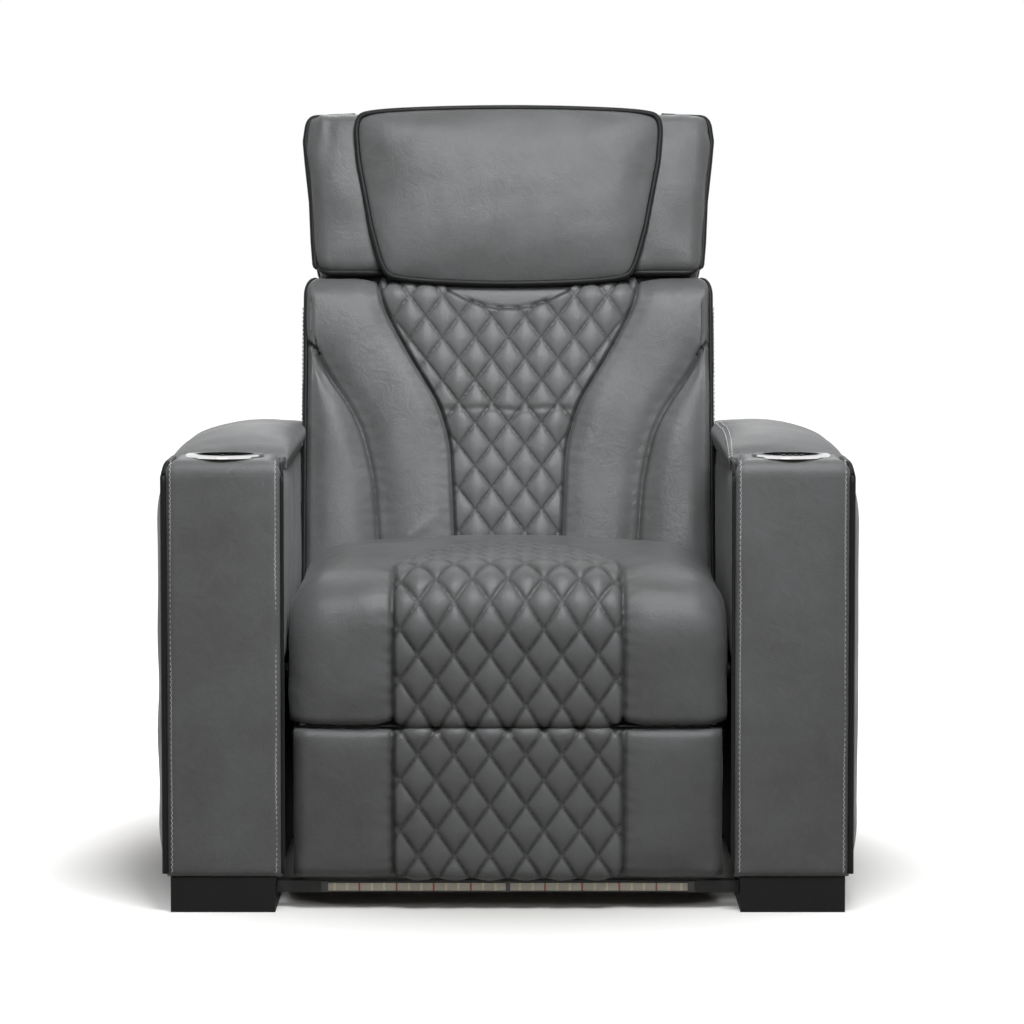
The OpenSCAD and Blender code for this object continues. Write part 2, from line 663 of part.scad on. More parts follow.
plate_outline = [
    [seat_frame_front + link_gap * 5, plate_top], [seat_frame_front + link_gap * 5, frame_low],
    [crank_at - 2 * link_half, crank_z - 2 * link_half],
    [rear_crank_at - 2 * link_half, cross_z], [rear_tube_at + tube_w + link_half, cross_z],
    [hinge_at + link_half + bolt_head_r, hinge_z - 2 * link_half],
    [hinge_at + link_half + bolt_head_r, plate_top]
];
module side_plates() color(steel) for (s = sides) mirrored(s) difference() {
    union() {
        translate([plate_in + plate_t, 0, 0]) rotate([0, -90, 0]) linear_extrude(plate_t)
            polygon([for (p = plate_outline) [p[1], at(p[0])]]);
        for (p = arm_bolt_places)
            bar_x(plate_in + plate_t / 2, board_in, p[0], p[1], bolt_head_r + link_t);
    }
    for (p = arm_bolt_places)
        bar_x(plate_in - over, board_in + over, p[0], p[1], bolt_r + bolt_play);
    for (p = [front_pin, rear_pin]) bar_x(plate_in - over, plate_in + plate_t + over, p[0],
        p[1], pin_r + joint_gap);
    bar_x(plate_in - over, plate_in + plate_t + over, hinge_at, hinge_z,
        2 * pin_r + joint_gap);
}

module cross_tubes() color(steel) for (d = [mid_tube_at, rear_tube_at])
    slab(-plate_in, plate_in, d, d + tube_w, cross_z, tube_top);

// Shouldered pins for the cranks and the back, riveted in the side plates
module pivot_pins() color(steel) for (s = sides) mirrored(s) {
    for (p = [front_pin, rear_pin]) {
        bar_x(crank_in - joint_gap - link_gap / 3, plate_in + plate_t + link_gap * 2, p[0], p[1],
            pin_r);
        bar_x(crank_in - head_out, crank_in - joint_gap, p[0], p[1], pin_r + link_gap * 2);
        bar_x(plate_in + plate_t + joint_gap, plate_in + plate_t + link_gap * 2, p[0], p[1],
            pin_r + link_gap * 2);
    }
    bar_x(crank_in, plate_in + plate_t + link_gap * 2, hinge_at, hinge_z, 2 * pin_r);
    bar_x(plate_in + plate_t + joint_gap, plate_in + plate_t + link_gap * 2, hinge_at,
        hinge_z, 2 * pin_r + link_gap * 3);
}

module seat_frame() color(steel) {
    for (d = [seat_frame_front, seat_rear_low - 2 * tube_w])
        slab(-plate_in, plate_in, d, d + tube_w, frame_low, plate_top);
    for (s = sides) mirrored(s)
        slab(upright_x, upright_x + tube_w, seat_frame_front + tube_w + joint_gap,
            seat_rear_low - 2 * tube_w - joint_gap, frame_low, plate_top);
}

web_w = 50;
web_step = 85;
module seat_webbing() color(black) {
    for (i = [-2 : 2]) slab(i * web_step - web_w / 2, i * web_step + web_w / 2,
        seat_frame_front, seat_rear_low - tube_w, plate_top, plate_top + web_t);
    for (i = [0 : 2], s = sides) mirrored(s) slab(2 * web_step + web_w / 2 + joint_gap,
        upright_x + tube_w, seat_frame_front + tube_w + web_step * (i + 0.6),
        seat_frame_front + tube_w + web_step * (i + 0.6) + web_w, plate_top, plate_top + web_t);
}

// Stations across a quilted cushion: half diamonds inside the seam, then a smooth side roll
cell_w = 24.2;
cells = floor(quilt_half / cell_w);
seat_side_shares = [0.25, 0.5, 0.76, 0.92, 1];
function cushion_stations(half, seam) = let (
        n = floor(seam / cell_w),
        right = [seam, for (t = seat_side_shares) mix(seam, half, t)])
    concat([for (i = [len(right) - 1 : -1 : 0]) -right[i]],
        [for (i = [-n : n]) i * cell_w * seam / (n + 0.4) / cell_w], right);

// Seat cushion: straight front, front roll and crowned top, the middle panel quilted in diamonds
seat_rows = 20;
front_run = seat_top - seat_roll - seat_low;
roll_run = seat_roll * PI / 2;
seat_end = back_plane(seat_top);
top_run = seat_end - seat_front - seat_roll;
seat_run = front_run + roll_run + top_run;
function seat_point(run) = run < front_run ? [seat_front, seat_low + run, 180]
    : run < front_run + roll_run
        ? let (a = (run - front_run) / seat_roll * 180 / PI)
            [seat_front + seat_roll * (1 - cos(a)), seat_top - seat_roll * (1 - sin(a)), 180 - a]
        : [seat_front + seat_roll + run - front_run - roll_run, seat_top, 90];
side_roll = 52;
seat_crown = 11;
side_fall = 26;
function seat_surface(x, i, j) = let (
        run = seat_run * j / seat_rows,
        p = seat_point(run),
        on_top = soft_ramp(run, front_run * 0.6, front_run + roll_run),
        at_end = ramp(run, seat_run - seat_roll, seat_run),
        edge = round_drop(abs(x), seat_half, side_roll),
        lift = (seat_crown - (seat_crown + side_fall / 2) * pow(abs(x) / seat_half, 2)) * on_top
            + seat_crown / 3 * sin(180 * ramp(run, 0, front_run + roll_run)) * (1 - on_top)
            - mix(seat_crown / 2, side_roll * 0.8, on_top) * edge,
        inside = abs(x) < quilt_half - seam_depth / 2,
        sewn = inside ? quilt_h * quilted(i, j) - seam_depth / 3
            : abs(x) < quilt_half + seam_depth / 2 ? -seam_depth : quilt_h / 2,
        n = lift + sewn * (1 - at_end) * (j == 0 ? 0 : 1),
        z = p[1] + n * sin(p[2]))
    [x, at(min(p[0] + n * cos(p[2]), back_plane(z))), z];
bend_row = 6;
function seat_inner(x, j) = let (
        rise = ramp(j, 0, bend_row), back = ramp(j, bend_row, seat_rows))
    [x, at(mix(seat_front + apron_t, seat_rear_low, back)), mix(seat_low, cushion_low, rise)];
module seat_cushion() color(leather) {
    xs = cushion_stations(seat_half, quilt_half);
    skin([for (i = [0 : len(xs) - 1])
        [for (j = [0 : seat_rows]) seat_surface(xs[i], i, j),
         for (j = [seat_rows : -1 : 0]) seat_inner(xs[i], j)]]);
}

// Footrest

// Padding: quilted front, soft upper and lower edges
pad_rows = 6;
footrest_path = [
    [footrest_back, footrest_low], [footrest_face + footrest_pad_t / 4, footrest_low],
    for (j = [0 : pad_rows]) [footrest_face, mix(footrest_low + seam_depth,
        footrest_top - seam_depth, j / pad_rows)],
    [footrest_face + footrest_pad_t / 4, footrest_top], [footrest_back, footrest_top]
];
function footrest_surface(x, i, j) = let (
        p = footrest_path[j], k = len(footrest_path) - 1,
        on_face = j > 1 && j < k - 1,
        edge = round_drop(abs(x), foot_half, side_roll / 2),
        at_rim = j == 2 || j == k - 2,
        sewn = !on_face || at_rim ? 0
            : abs(x) < quilt_half - seam_depth / 2 ? quilt_h * quilted(i, j) - seam_depth / 3
            : abs(x) < quilt_half + seam_depth / 2 ? -seam_depth : quilt_h / 2,
        out = on_face ? sewn - seam_depth / 3 - edge * footrest_pad_t / 4 : 0)
    [x, at(min(p[0] - out, footrest_back - touch_gap)), p[1]];
module footrest_cushion() color(leather) {
    xs = cushion_stations(foot_half, quilt_half);
    k = len(footrest_path) - 1;
    skin([for (i = [0 : len(xs) - 1])
        [for (j = [0 : k]) footrest_surface(xs[i], i, j),
         for (j = [k : -1 : 0]) [xs[i], at(footrest_back), mix(footrest_low + link_gap,
            footrest_top - link_gap, j / k)]]]);
}

module footrest_board() color(wood)
    slab(-foot_half + link_t, foot_half - link_t, footrest_back, footrest_back + footrest_board_t,
        footrest_low + link_gap * 2, footrest_top - link_gap * 2);

// Steel brackets behind the board with the pins that the couplers swing on
module footrest_brackets() color(steel) for (s = sides) mirrored(s) {
    back = footrest_back + footrest_board_t;
    hull() {
        bar_x(bracket_in, bracket_in + link_t, lower_bracket_pin[0], lower_bracket_pin[1],
            link_half);
        bar_x(bracket_in, bracket_in + link_t, upper_bracket_pin[0], upper_bracket_pin[1],
            link_half);
        slab(bracket_in, bracket_in + link_t, back, back + link_t, lower_bracket_pin[1]
            - 4 * link_half, upper_bracket_pin[1]);
    }
    slab(bracket_in - 2 * link_half, bracket_in + link_t / 2, back, back + link_t,
        lower_bracket_pin[1] - 4 * link_half, upper_bracket_pin[1] - link_half);
    for (p = [lower_bracket_pin, upper_bracket_pin]) {
        bar_x(bracket_in + link_t / 2, coupler_in + link_t + joint_gap, p[0], p[1], pin_r);
        bar_x(coupler_in + link_t + joint_gap, coupler_in + link_t + head_out, p[0], p[1],
            pin_r + link_gap * 2);
    }
}

// Front cranks, joined by the torque tube with its drive lug
drive_pin = [drive_pin_at, crank_z - drive_len * cos(footrest_swing / 2)];
lug_way = drive_pin - front_pin;
lug_half = torque_r + link_gap * 1.3;
module front_cranks() color(steel) {
    difference() {
        union() {
            bar_x(-crank_in - link_t / 2, crank_in + link_t / 2, front_pin[0], front_pin[1],
                torque_r);
            for (s = sides) mirrored(s)
                link(crank_in, front_pin, front_end_pin, link_half, [front_pin]);
            translate([-drive_x - lug_t - link_t, at(front_pin[0]), front_pin[1]])
                rotate([atan2(lug_way[1], lug_way[0]), 0, 0])
                    translate([0, -lug_half, -lug_half])
                        cube([link_t, norm(lug_way) + lug_half + pin_r * 2, lug_half * 2]);
            bar_x(-drive_x - lug_t - link_t / 2, -drive_x + lug_t, drive_pin[0], drive_pin[1],
                pin_r);
        }
        for (s = sides) mirrored(s) {
            bar_x(crank_in - link_gap * 2, crank_in, front_pin[0], front_pin[1],
                pin_r + link_gap * 3);
            bar_x(crank_in - link_gap, crank_in + link_t + over, front_pin[0], front_pin[1],
                pin_r + pin_play);
        }
    }
    for (s = sides, p = [front_mid_pin, front_end_pin]) mirrored(s) headed_pin(p);
}
// Pin riveted in a crank, with its head inside the coupler
module headed_pin(p) {
    bar_x(coupler_in - joint_gap - link_gap / 3, crank_in + link_t / 2, p[0], p[1], pin_r);
    bar_x(coupler_in - head_out, coupler_in - joint_gap, p[0], p[1], pin_r + link_gap * 2);
}
lug_t = rod_r + link_gap / 2;

module rear_cranks() color(steel) for (s = sides) mirrored(s) {
    link(crank_in, rear_pin, rear_end_pin, link_half, [rear_pin]);
    headed_pin(rear_end_pin);
}

module upper_couplers() color(steel) for (s = sides) mirrored(s)
    link(coupler_in, rear_end_pin, upper_bracket_pin, link_half,
        [rear_end_pin, front_mid_pin, upper_bracket_pin]);

module lower_couplers() color(steel) for (s = sides) mirrored(s)
    link(coupler_in, front_end_pin, lower_bracket_pin, link_half,
        [front_end_pin, lower_bracket_pin]);

// Actuators: a guide rail with a gear head and a motor, and a rod that ends in a slotted fork

fork_t = 6;
fork_play = 2.2;
fork_wall = 5;
// Fork and rod along +Y from the fork's middle
module fork_rod(length, slot_half) {
    translate([-fork_t / 2, 0, 0]) difference() {
        span([0, -pin_r - fork_play - fork_wall, -slot_half - pin_r - fork_wall],
            [fork_t, pin_r + fork_play + fork_wall, slot_half + pin_r + fork_wall]);
        span([-over, -pin_r - fork_play, -slot_half - pin_r],
            [fork_t + over, pin_r + fork_play, slot_half + pin_r]);
    }
    translate([0, pin_r + fork_play + fork_wall / 2, 0]) rotate([-90, 0, 0])
        cylinder(r = rod_r, h = length);
}
// Housing along +Y from its mouth: rail, gear head with motor, bore for the rod
module housing(length, bore_len, head_low, foot) difference() {
    union() {
        span([-motor_half * 0.6, 0, -motor_half * 0.6],
            [motor_half * 0.6, length, motor_half * 0.6]);
        span([-motor_half, length - 3 * motor_half, -head_low],
            [motor_half, length, motor_half]);
        translate([-motor_half * 2.6, length - 1.5 * motor_half, 0]) rotate([0, 90, 0])
            cylinder(r = motor_half * 0.9, h = motor_half * 2);
        span([-motor_half * 0.6, foot, -head_low],
            [motor_half * 0.6, foot + motor_half, 0]);
    }
    translate([0, -over, 0]) rotate([-90, 0, 0])
        cylinder(r = rod_r + pin_play, h = bore_len + over);
}
drive_slot = drive_len * (1 - cos(footrest_swing / 2)) / 2 + link_gap;
recline_slot = recline_len * (1 - cos(recline / 2)) / 2 + link_gap;
tilt_slot = tilt_len * (1 - cos(tilt / 2)) / 2 + link_gap;
drive_mouth = drive_pin_at + 3 * motor_half;
drive_house_len = rear_tube_at + tube_w - drive_mouth;
module footrest_motor() color(plastic) translate([-drive_x, at(drive_mouth), drive_z])
    housing(drive_house_len, drive_house_len - 4 * motor_half, drive_z - tube_top,
        mid_tube_at - drive_mouth + link_gap);
module footrest_rod() color(steel) translate([-drive_x, at(drive_pin_at), drive_z])
    fork_rod(drive_travel + 5 * motor_half, drive_slot);

recline_mouth = recline_pin_at - recline_travel - 1.2 * motor_half;
recline_house_len = recline_mouth - mid_tube_at;
module recline_motor() color(plastic) translate([drive_x, at(recline_mouth), recline_z])
    mirror([0, 1, 0]) housing(recline_house_len, recline_house_len - 4 * motor_half,
        recline_z - tube_top, recline_mouth - rear_tube_at - tube_w + link_gap);
module recline_rod() color(steel) translate([drive_x, at(recline_pin_at), recline_z])
    mirror([0, 1, 0]) fork_rod(recline_travel + 5 * motor_half, recline_slot);

supply_x = 150;
supply_w = 62;
supply_h = 32;
module power_supply() color(black) difference() {
    slab(supply_x, supply_x + supply_w, mid_tube_at + tube_w / 5, rear_tube_at + tube_w * 0.8,
        tube_top, tube_top + supply_h);
    slab(supply_x + supply_w / 2 - inlet_w / 2, supply_x + supply_w / 2 + inlet_w / 2,
        rear_tube_at + tube_w * 0.8 - inlet_d, rear_tube_at + tube_w * 0.8 + over,
        tube_top + supply_h / 2 - inlet_h / 2, tube_top + supply_h / 2 + inlet_h / 2);
}
inlet_w = 12;
inlet_h = 8;
inlet_d = 9;

// Light under the footrest

rail_at = 47;
rail_t = 22;
strip_half = 242;
strip_t = 1.6;
foot_in = arm_in + foot_inset + inner_pad_t / 2;
module light_rail() color(black)
    slab(-foot_in + joint_gap, foot_in - joint_gap, rail_at, rail_at + rail_t, rail_z,
        rail_z + rail_h);
module light_strip() color(strip_white)
    slab(-strip_half, strip_half, rail_at - strip_t, rail_at, rail_z + rail_h * 0.15,
        rail_z + rail_h * 0.8);
clip_w = 9;
module light_clips() color(plastic) {
    for (s = sides) mirrored(s)
        slab(strip_half + joint_gap, strip_half + joint_gap + clip_w, rail_at - 2 * strip_t,
            rail_at, rail_z + rail_h * 0.05, rail_z + rail_h * 0.95);
    slab(-clip_w / 3, clip_w / 3, rail_at - 2 * strip_t, rail_at - strip_t,
        rail_z + rail_h * 0.05, rail_z + rail_h * 0.95);
}

panel_inset = 68;
panel_at = arm_d - panel_inset;
panel_high = 285;
module rear_panel() color(leather)
    slab(-board_in + joint_gap, board_in - joint_gap, panel_at, panel_at + board_t,
        foot_h + board_t / 2, panel_high);

// Back, in its own axes

frame_y = frame_face - link_gap * 4;
module back_frame() color(steel) back_axes() {
    for (s = sides) mirrored(s)
        span([upright_x, frame_y, back_low],
            [upright_x + tube_w, frame_y + tube_w, back_high]);
    for (z = [back_low, (back_low + back_high) / 2 - tube_w, back_high - tube_w])
        span([-upright_x + joint_gap, frame_y, z],
            [upright_x - joint_gap, frame_y + tube_w, z + tube_w]);
    for (s = sides) mirrored(s) {
        difference() {
            union() {
                span([hinge_x, tilt_y, back_high + joint_gap],
                    [hinge_x + hinge_w, frame_y + tube_w, back_high + joint_gap + leaf_t * 1.5]);
                translate([hinge_x, tilt_y, tilt_z]) rotate([0, 90, 0])
                    cylinder(r = tilt_barrel_r, h = hinge_w);
            }
            translate([hinge_x - over, tilt_y, tilt_z]) rotate([0, 90, 0])
                cylinder(r = tilt_pin_r, h = hinge_w + 2 * over);
        }
        translate([hinge_x, tilt_y, tilt_z]) rotate([0, 90, 0])
            cylinder(r = tilt_pin_r, h = 2 * hinge_w);
    }
}
hinge_x = 150;
hinge_w = 14;
tilt_barrel_r = neck_gap / 2 - joint_gap * 5;
tilt_pin_r = 3;

// Brackets on the hinge pins, the cross tube and the back's drive lug
module back_brackets() color(steel) {
    back_axes() for (s = sides) mirrored(s) span([crank_in, frame_y, back_low - 2 * link_gap],
        [crank_in + link_t, frame_y + tube_w, back_low + 10 * link_half]);
    back_axes() for (s = sides) mirrored(s) difference() {
        hull() {
            translate([crank_in, 0, 0]) rotate([0, 90, 0]) cylinder(r = 2 * link_half,
                h = link_t, $fn = 32);
            span([crank_in, frame_y, link_half], [crank_in + link_t, frame_y + tube_w,
                back_low - link_gap]);
        }
        translate([crank_in - over, 0, 0]) rotate([0, 90, 0])
            cylinder(r = 2 * pin_r + pin_play, h = link_t + 2 * over);
    }
    difference() {
        bar_x(-crank_in, crank_in, hinge_at, hinge_z, torque_r + link_gap * 4);
        for (s = sides) mirrored(s) bar_x(crank_in - link_gap * 2, crank_in + over, hinge_at,
            hinge_z, 2 * pin_r + link_gap);
    }
    translate([drive_x + lug_t, 0, 0]) link(0, [hinge_at, hinge_z], recline_pin,
        link_half - link_gap);
    bar_x(drive_x - lug_t, drive_x + lug_t + link_t / 2, recline_pin[0], recline_pin[1], pin_r);
}
recline_pin = [recline_pin_at, hinge_z - recline_len * cos(recline / 2)];

module back_webbing() color(black) back_axes() {
    for (i = [0 : 3]) span([-upright_x - tube_w, frame_y - web_t, back_low + web_step * (i + 0.7)],
        [upright_x + tube_w, frame_y, back_low + web_step * (i + 0.7) + web_w]);
}

// Back cushion: bolsters beside an hourglass of quilting, the upper edge rolled back. The stations
// follow the seams: an inner one on the hourglass and an outer one that runs out to the edge.
back_rows = 14;
back_cells = 6;
back_seam = back_cells + 2;
back_last = back_seam + 2;
bolster_low_share = 0.64;
bolster_top_share = 0.94;
function waist(t) = mix(waist_low, waist_top, pow(ramp(t, 0.3, 1), 2));
function bolster(t) = back_half * mix(bolster_low_share, bolster_top_share,
    pow(ramp(t, 0.3, 0.85), 2));
function back_station(i, t) = let (n = abs(i), side = i < 0 ? -1 : 1) side * (
    n <= back_cells ? waist(t) * n / back_cells
    : n <= back_seam ? mix(waist(t), max(bolster(t), waist(t) + cell_w / 2),
        (n - back_cells) / (back_seam - back_cells))
    : mix(max(bolster(t), waist(t) + cell_w / 2), back_half,
        pow((n - back_seam) / (back_last - back_seam), 0.7)));
top_roll = 44;
function back_surface(i, j) = let (
        t = j / back_rows, n = abs(i), x = back_station(i, t),
        z = mix(back_low, back_high, t),
        edge = round_drop(abs(x), back_half, side_roll / 2),
        end = round_drop(z, back_high, top_roll),
        sewn = n < back_cells ? quilt_h * quilted(i + back_last, j) - seam_depth / 2
            : n == back_cells ? -seam_depth
            : n == back_seam ? mix(-seam_depth / 2, bolster_h, soft_ramp(t, 0.6, 0.9))
            : bolster_h,
        out = sewn * (1 - ramp(t, 0.9, 1)) * (j == 0 ? 0 : 1) - edge * side_roll * 0.5)
    [x, -back_face - out + end * top_roll * 0.85, z];
module back_cushion() color(leather) back_axes() skin([
    for (i = [-back_last : back_last])
        [for (j = [0 : back_rows]) back_surface(i, j),
         for (j = [back_rows : -1 : 0])
            [back_station(i, j / back_rows), frame_y - web_t - joint_gap,
                mix(back_low, back_high, j / back_rows)]]
]);

rear_face = frame_y + tube_w + motor_half * 2 + link_gap * 3;
pad_shares = [0, 0.03, 0.12, 0.5, 0.88, 0.97, 1];
module back_rear_cover() color(leather) back_axes() skin([
    for (u = pad_shares)
        let (x = mix(-back_half - inner_pad_t + link_gap, back_half + inner_pad_t - link_gap, u))
        [for (i = [len(pad_shares) - 1 : -1 : 0])
            let (v = pad_shares[i])
            [x, rear_face + rear_pad_t * (0.25 + 0.75 * swell(u) * swell(v)),
                mix(back_low / 2, back_high, v)],
         for (v = pad_shares) [x, rear_face, mix(back_low / 2, back_high, v)]]
]);

band_shares = [0, 0.04, 0.5, 0.96, 1];
module back_side_covers() color(leather) back_axes() for (s = sides) mirrored(s) skin([
    for (v = band_shares)
        let (z = mix(back_low, back_high, v), x = back_half + touch_gap,
            thick = inner_pad_t - 2 * link_gap)
        [for (u = band_shares)
            [x + thick * (0.5 + 0.5 * swell(u) * swell(v)),
                mix(-back_face * 0.8, rear_face - touch_gap, u), z],
         for (i = [len(band_shares) - 1 : -1 : 0])
            [x, mix(-back_face * 0.8, rear_face - touch_gap, band_shares[i]), z]]
]);

headrest_mouth = tilt_pin_z - 1.2 * motor_half;
headrest_house_len = headrest_mouth - (back_low + back_high) / 2;
module headrest_motor() color(plastic) back_axes() translate([0, tilt_rod_y, headrest_mouth])
    rotate([-90, 0, 0]) headrest_housing();
module headrest_housing() difference() {
    union() {
        span([-motor_half * 0.6, 0, -motor_half * 0.5],
            [motor_half * 0.6, headrest_house_len, motor_half * 0.5]);
        span([-motor_half * 0.9, headrest_house_len - 2.5 * motor_half, -tilt_rod_y + frame_y
            + tube_w + joint_gap], [motor_half * 0.9, headrest_house_len + tube_w / 2,
            motor_half * 0.7]);
    }
    translate([0, -over, 0]) rotate([-90, 0, 0])
        cylinder(r = rod_r + pin_play, h = headrest_house_len - 3 * motor_half + over);
}
module headrest_rod() color(steel) back_axes() translate([0, tilt_rod_y, tilt_pin_z])
    rotate([-90, 0, 0]) fork_rod(tilt_travel + 3 * motor_half, tilt_slot);

// Headrest, in the back's axes

head_rear = frame_y + tube_w / 2;
module headrest_frame() color(steel) back_axes() {
    span([-head_low_half * 0.74, frame_y, head_low + leaf_t],
        [head_low_half * 0.74, head_rear, head_low + head_h * 0.78]);
    for (s = sides) mirrored(s) difference() {
        union() {
            translate([hinge_x + hinge_w + joint_gap, tilt_y, tilt_z]) rotate([0, 90, 0])
                cylinder(r = tilt_barrel_r, h = hinge_w - 2 * joint_gap);
            span([hinge_x + hinge_w + joint_gap, tilt_y, head_low - leaf_t],
                [hinge_x + 2 * hinge_w - joint_gap, head_rear, head_low - joint_gap]);
            span([hinge_x + hinge_w + joint_gap, frame_y, head_low - leaf_t],
                [hinge_x + 2 * hinge_w - joint_gap, head_rear, head_low + 2 * leaf_t]);
        }
        translate([hinge_x, tilt_y, tilt_z]) rotate([0, 90, 0])
            cylinder(r = tilt_pin_r + pin_play, h = 3 * hinge_w);
    }
    translate([fork_t, tilt_pin_y, tilt_pin_z]) rotate([0, 90, 0])
        cylinder(r = 2 * pin_r, h = link_t);
    span([fork_t, tilt_pin_y - 2 * pin_r, tilt_pin_z],
        [fork_t + link_t, tilt_pin_y + 2 * pin_r, head_low - joint_gap]);
    span([fork_t, frame_y, head_low - link_half],
        [fork_t + link_t, tilt_pin_y + 2 * pin_r, head_low - joint_gap]);
    span([fork_t, frame_y, head_low - link_half],
        [fork_t + link_t, head_rear, head_low + 2 * leaf_t]);
    translate([-fork_t, tilt_pin_y, tilt_pin_z]) rotate([0, 90, 0])
        cylinder(r = pin_r, h = 2 * fork_t + link_t / 2);
}
tilt_pin_y = tilt_y + tilt_len * cos(tilt / 2);

wing_rows = [0, 0.04, 0.14, 0.45, 0.8, 0.94, 1];
wing_across = [-1, -0.99, -0.96, -0.88, -0.76, -0.5, 0, 0.5, 0.76, 0.88, 0.96, 0.99, 1];
function head_width(t) = mix(head_low_half, head_top_half, pow(t, 1.4));
module headrest_wings() color(leather) back_axes() skin([
    for (u = wing_across)
        [for (t = wing_rows)
            let (edge = round_drop(abs(u), 1, 0.12),
                low = round_drop(1 - t, 1, 0.18), high = round_drop(t, 1, 0.12))
            [u * head_width(t), frame_y - touch_gap - wing_t
                * (1 - 0.55 * edge) * (1 - 0.5 * low - 0.4 * high), mix(head_low, head_low
                + head_h, t)],
         for (i = [len(wing_rows) - 1 : -1 : 0])
            [u * head_width(wing_rows[i]), frame_y - touch_gap,
                mix(head_low, head_low + head_h, wing_rows[i])]]
]);

pillow_rows = [0, 0.02, 0.07, 0.16, 0.35, 0.6, 0.82, 0.94, 1];
pillow_across = [-1, -0.98, -0.93, -0.82, -0.5, 0, 0.5, 0.82, 0.93, 0.98, 1];
pillow_drop = 24;
pillow_rear = frame_y - touch_gap - wing_t - touch_gap;
module headrest_pillow() color(leather) back_axes() skin([
    for (u = pillow_across)
        [for (t = pillow_rows)
            let (fat = pow(1 - pow(abs(2 * t - 1), 5), 0.5) * pow(1 - pow(abs(u), 6), 0.5))
            [u * mix(pillow_low_half, pillow_top_half, t), pillow_rear - link_gap
                - pillow_t * fat, mix(head_low - pillow_drop * (1 - pow(u, 6)), head_low + head_h
                + pillow_drop / 4, t)],
         for (i = [len(pillow_rows) - 1 : -1 : 0])
            let (t = pillow_rows[i])
            [u * mix(pillow_low_half, pillow_top_half, t), pillow_rear,
                mix(head_low - pillow_drop * (1 - pow(u, 6)), head_low + head_h
                + pillow_drop / 4, t)]]
]);

module headrest_rear_cover() color(leather) back_axes() skin([
    for (u = wing_across)
        [for (i = [len(wing_rows) - 1 : -1 : 0])
            let (t = wing_rows[i], edge = round_drop(abs(u), 1, 0.12),
                high = round_drop(t, 1, 0.2), low = round_drop(1 - t, 1, 0.1))
            [u * head_width(t), head_rear + touch_gap + head_rear_t
                * (1 - 0.6 * edge) * (1 - 0.5 * high - 0.3 * low),
                mix(head_low, head_low + head_h, t)],
         for (t = wing_rows)
            [u * head_width(t), abs(u) < 0.8 && t < 0.9 ? head_rear + touch_gap : frame_y,
                mix(head_low, head_low + head_h, t)]]
]);

feet();
bolts();
arm_frame_left();
arm_frame_right();
arm_outer_panels();
arm_inner_panels();
arm_front_cover_left();
arm_front_cover_right();
arm_rear_tops();
cup_holder_left();
cup_holder_right();
control_pads();
light_button();
footrest_up_button();
footrest_down_button();
head_up_button();
head_down_button();
storage_tub_left();
storage_tub_right();
arm_lid_left();
arm_lid_right();
lid_board_left();
lid_board_right();
lid_hinge_bases();
lid_leaf_left();
lid_leaf_right();
side_plates();
cross_tubes();
pivot_pins();
seat_frame();
seat_webbing();
seat_cushion();
footrest_motor();
recline_motor();
power_supply();
light_rail();
light_strip();
light_clips();
rear_panel();
footrest_cushion();
footrest_board();
footrest_brackets();
front_cranks();
rear_cranks();
upper_couplers();
lower_couplers();
footrest_rod();
recline_rod();
headrest_rod();
back_frame();
back_brackets();
back_webbing();
back_cushion();
back_rear_cover();
back_side_covers();
headrest_motor();
headrest_frame();
headrest_wings();
headrest_pillow();
headrest_rear_cover();
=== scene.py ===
# %% [markdown]
# # A reclining cinema seat in leather
# The frame that this file loads holds every rigid piece of the seat in its true place: boards,
# steel, motors, cup holders. This lesson dresses it. Each cover is worked out as a surface in
# numpy and given its leather. The cushions are padded with Blender's cloth, and three of them are
# quilted.
# Shapes are written in millimetres: x to the right, the depth d back from the front of the arms,
# and the height z. One function turns them into Blender's metres at the very end.

# %% Load the frame
import math
import bpy
import numpy as np
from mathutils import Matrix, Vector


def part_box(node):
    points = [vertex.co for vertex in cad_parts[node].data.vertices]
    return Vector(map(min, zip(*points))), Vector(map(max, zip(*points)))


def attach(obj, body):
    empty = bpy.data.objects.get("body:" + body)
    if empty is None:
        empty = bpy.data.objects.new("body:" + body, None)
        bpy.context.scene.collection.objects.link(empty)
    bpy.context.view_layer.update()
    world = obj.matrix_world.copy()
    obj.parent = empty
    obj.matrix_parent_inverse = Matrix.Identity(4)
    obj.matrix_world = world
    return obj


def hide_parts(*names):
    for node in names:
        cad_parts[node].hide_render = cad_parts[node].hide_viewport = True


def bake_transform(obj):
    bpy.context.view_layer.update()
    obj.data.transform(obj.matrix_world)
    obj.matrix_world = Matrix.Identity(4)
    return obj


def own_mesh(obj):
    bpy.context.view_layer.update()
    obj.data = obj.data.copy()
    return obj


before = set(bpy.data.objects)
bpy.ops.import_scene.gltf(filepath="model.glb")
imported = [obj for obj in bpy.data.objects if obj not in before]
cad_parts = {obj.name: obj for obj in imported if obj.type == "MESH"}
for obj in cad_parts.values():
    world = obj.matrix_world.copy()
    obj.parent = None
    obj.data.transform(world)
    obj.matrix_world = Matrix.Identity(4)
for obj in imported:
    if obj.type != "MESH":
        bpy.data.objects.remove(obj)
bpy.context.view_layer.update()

# %% [markdown]
# The same few sizes come back in many pieces, so they are named once, as a maker would write them
# on the wall. A diamond of the quilting is CELL_W wide and CELL_H high and spans CELL_POINTS points
# of the grid, and FIELD_COLS columns lie between the middle and a seam. The back leans 15 degrees
# about its hinge, and a helper places points given in the back's own axes: y backwards from the
# hinge and z up along the back.

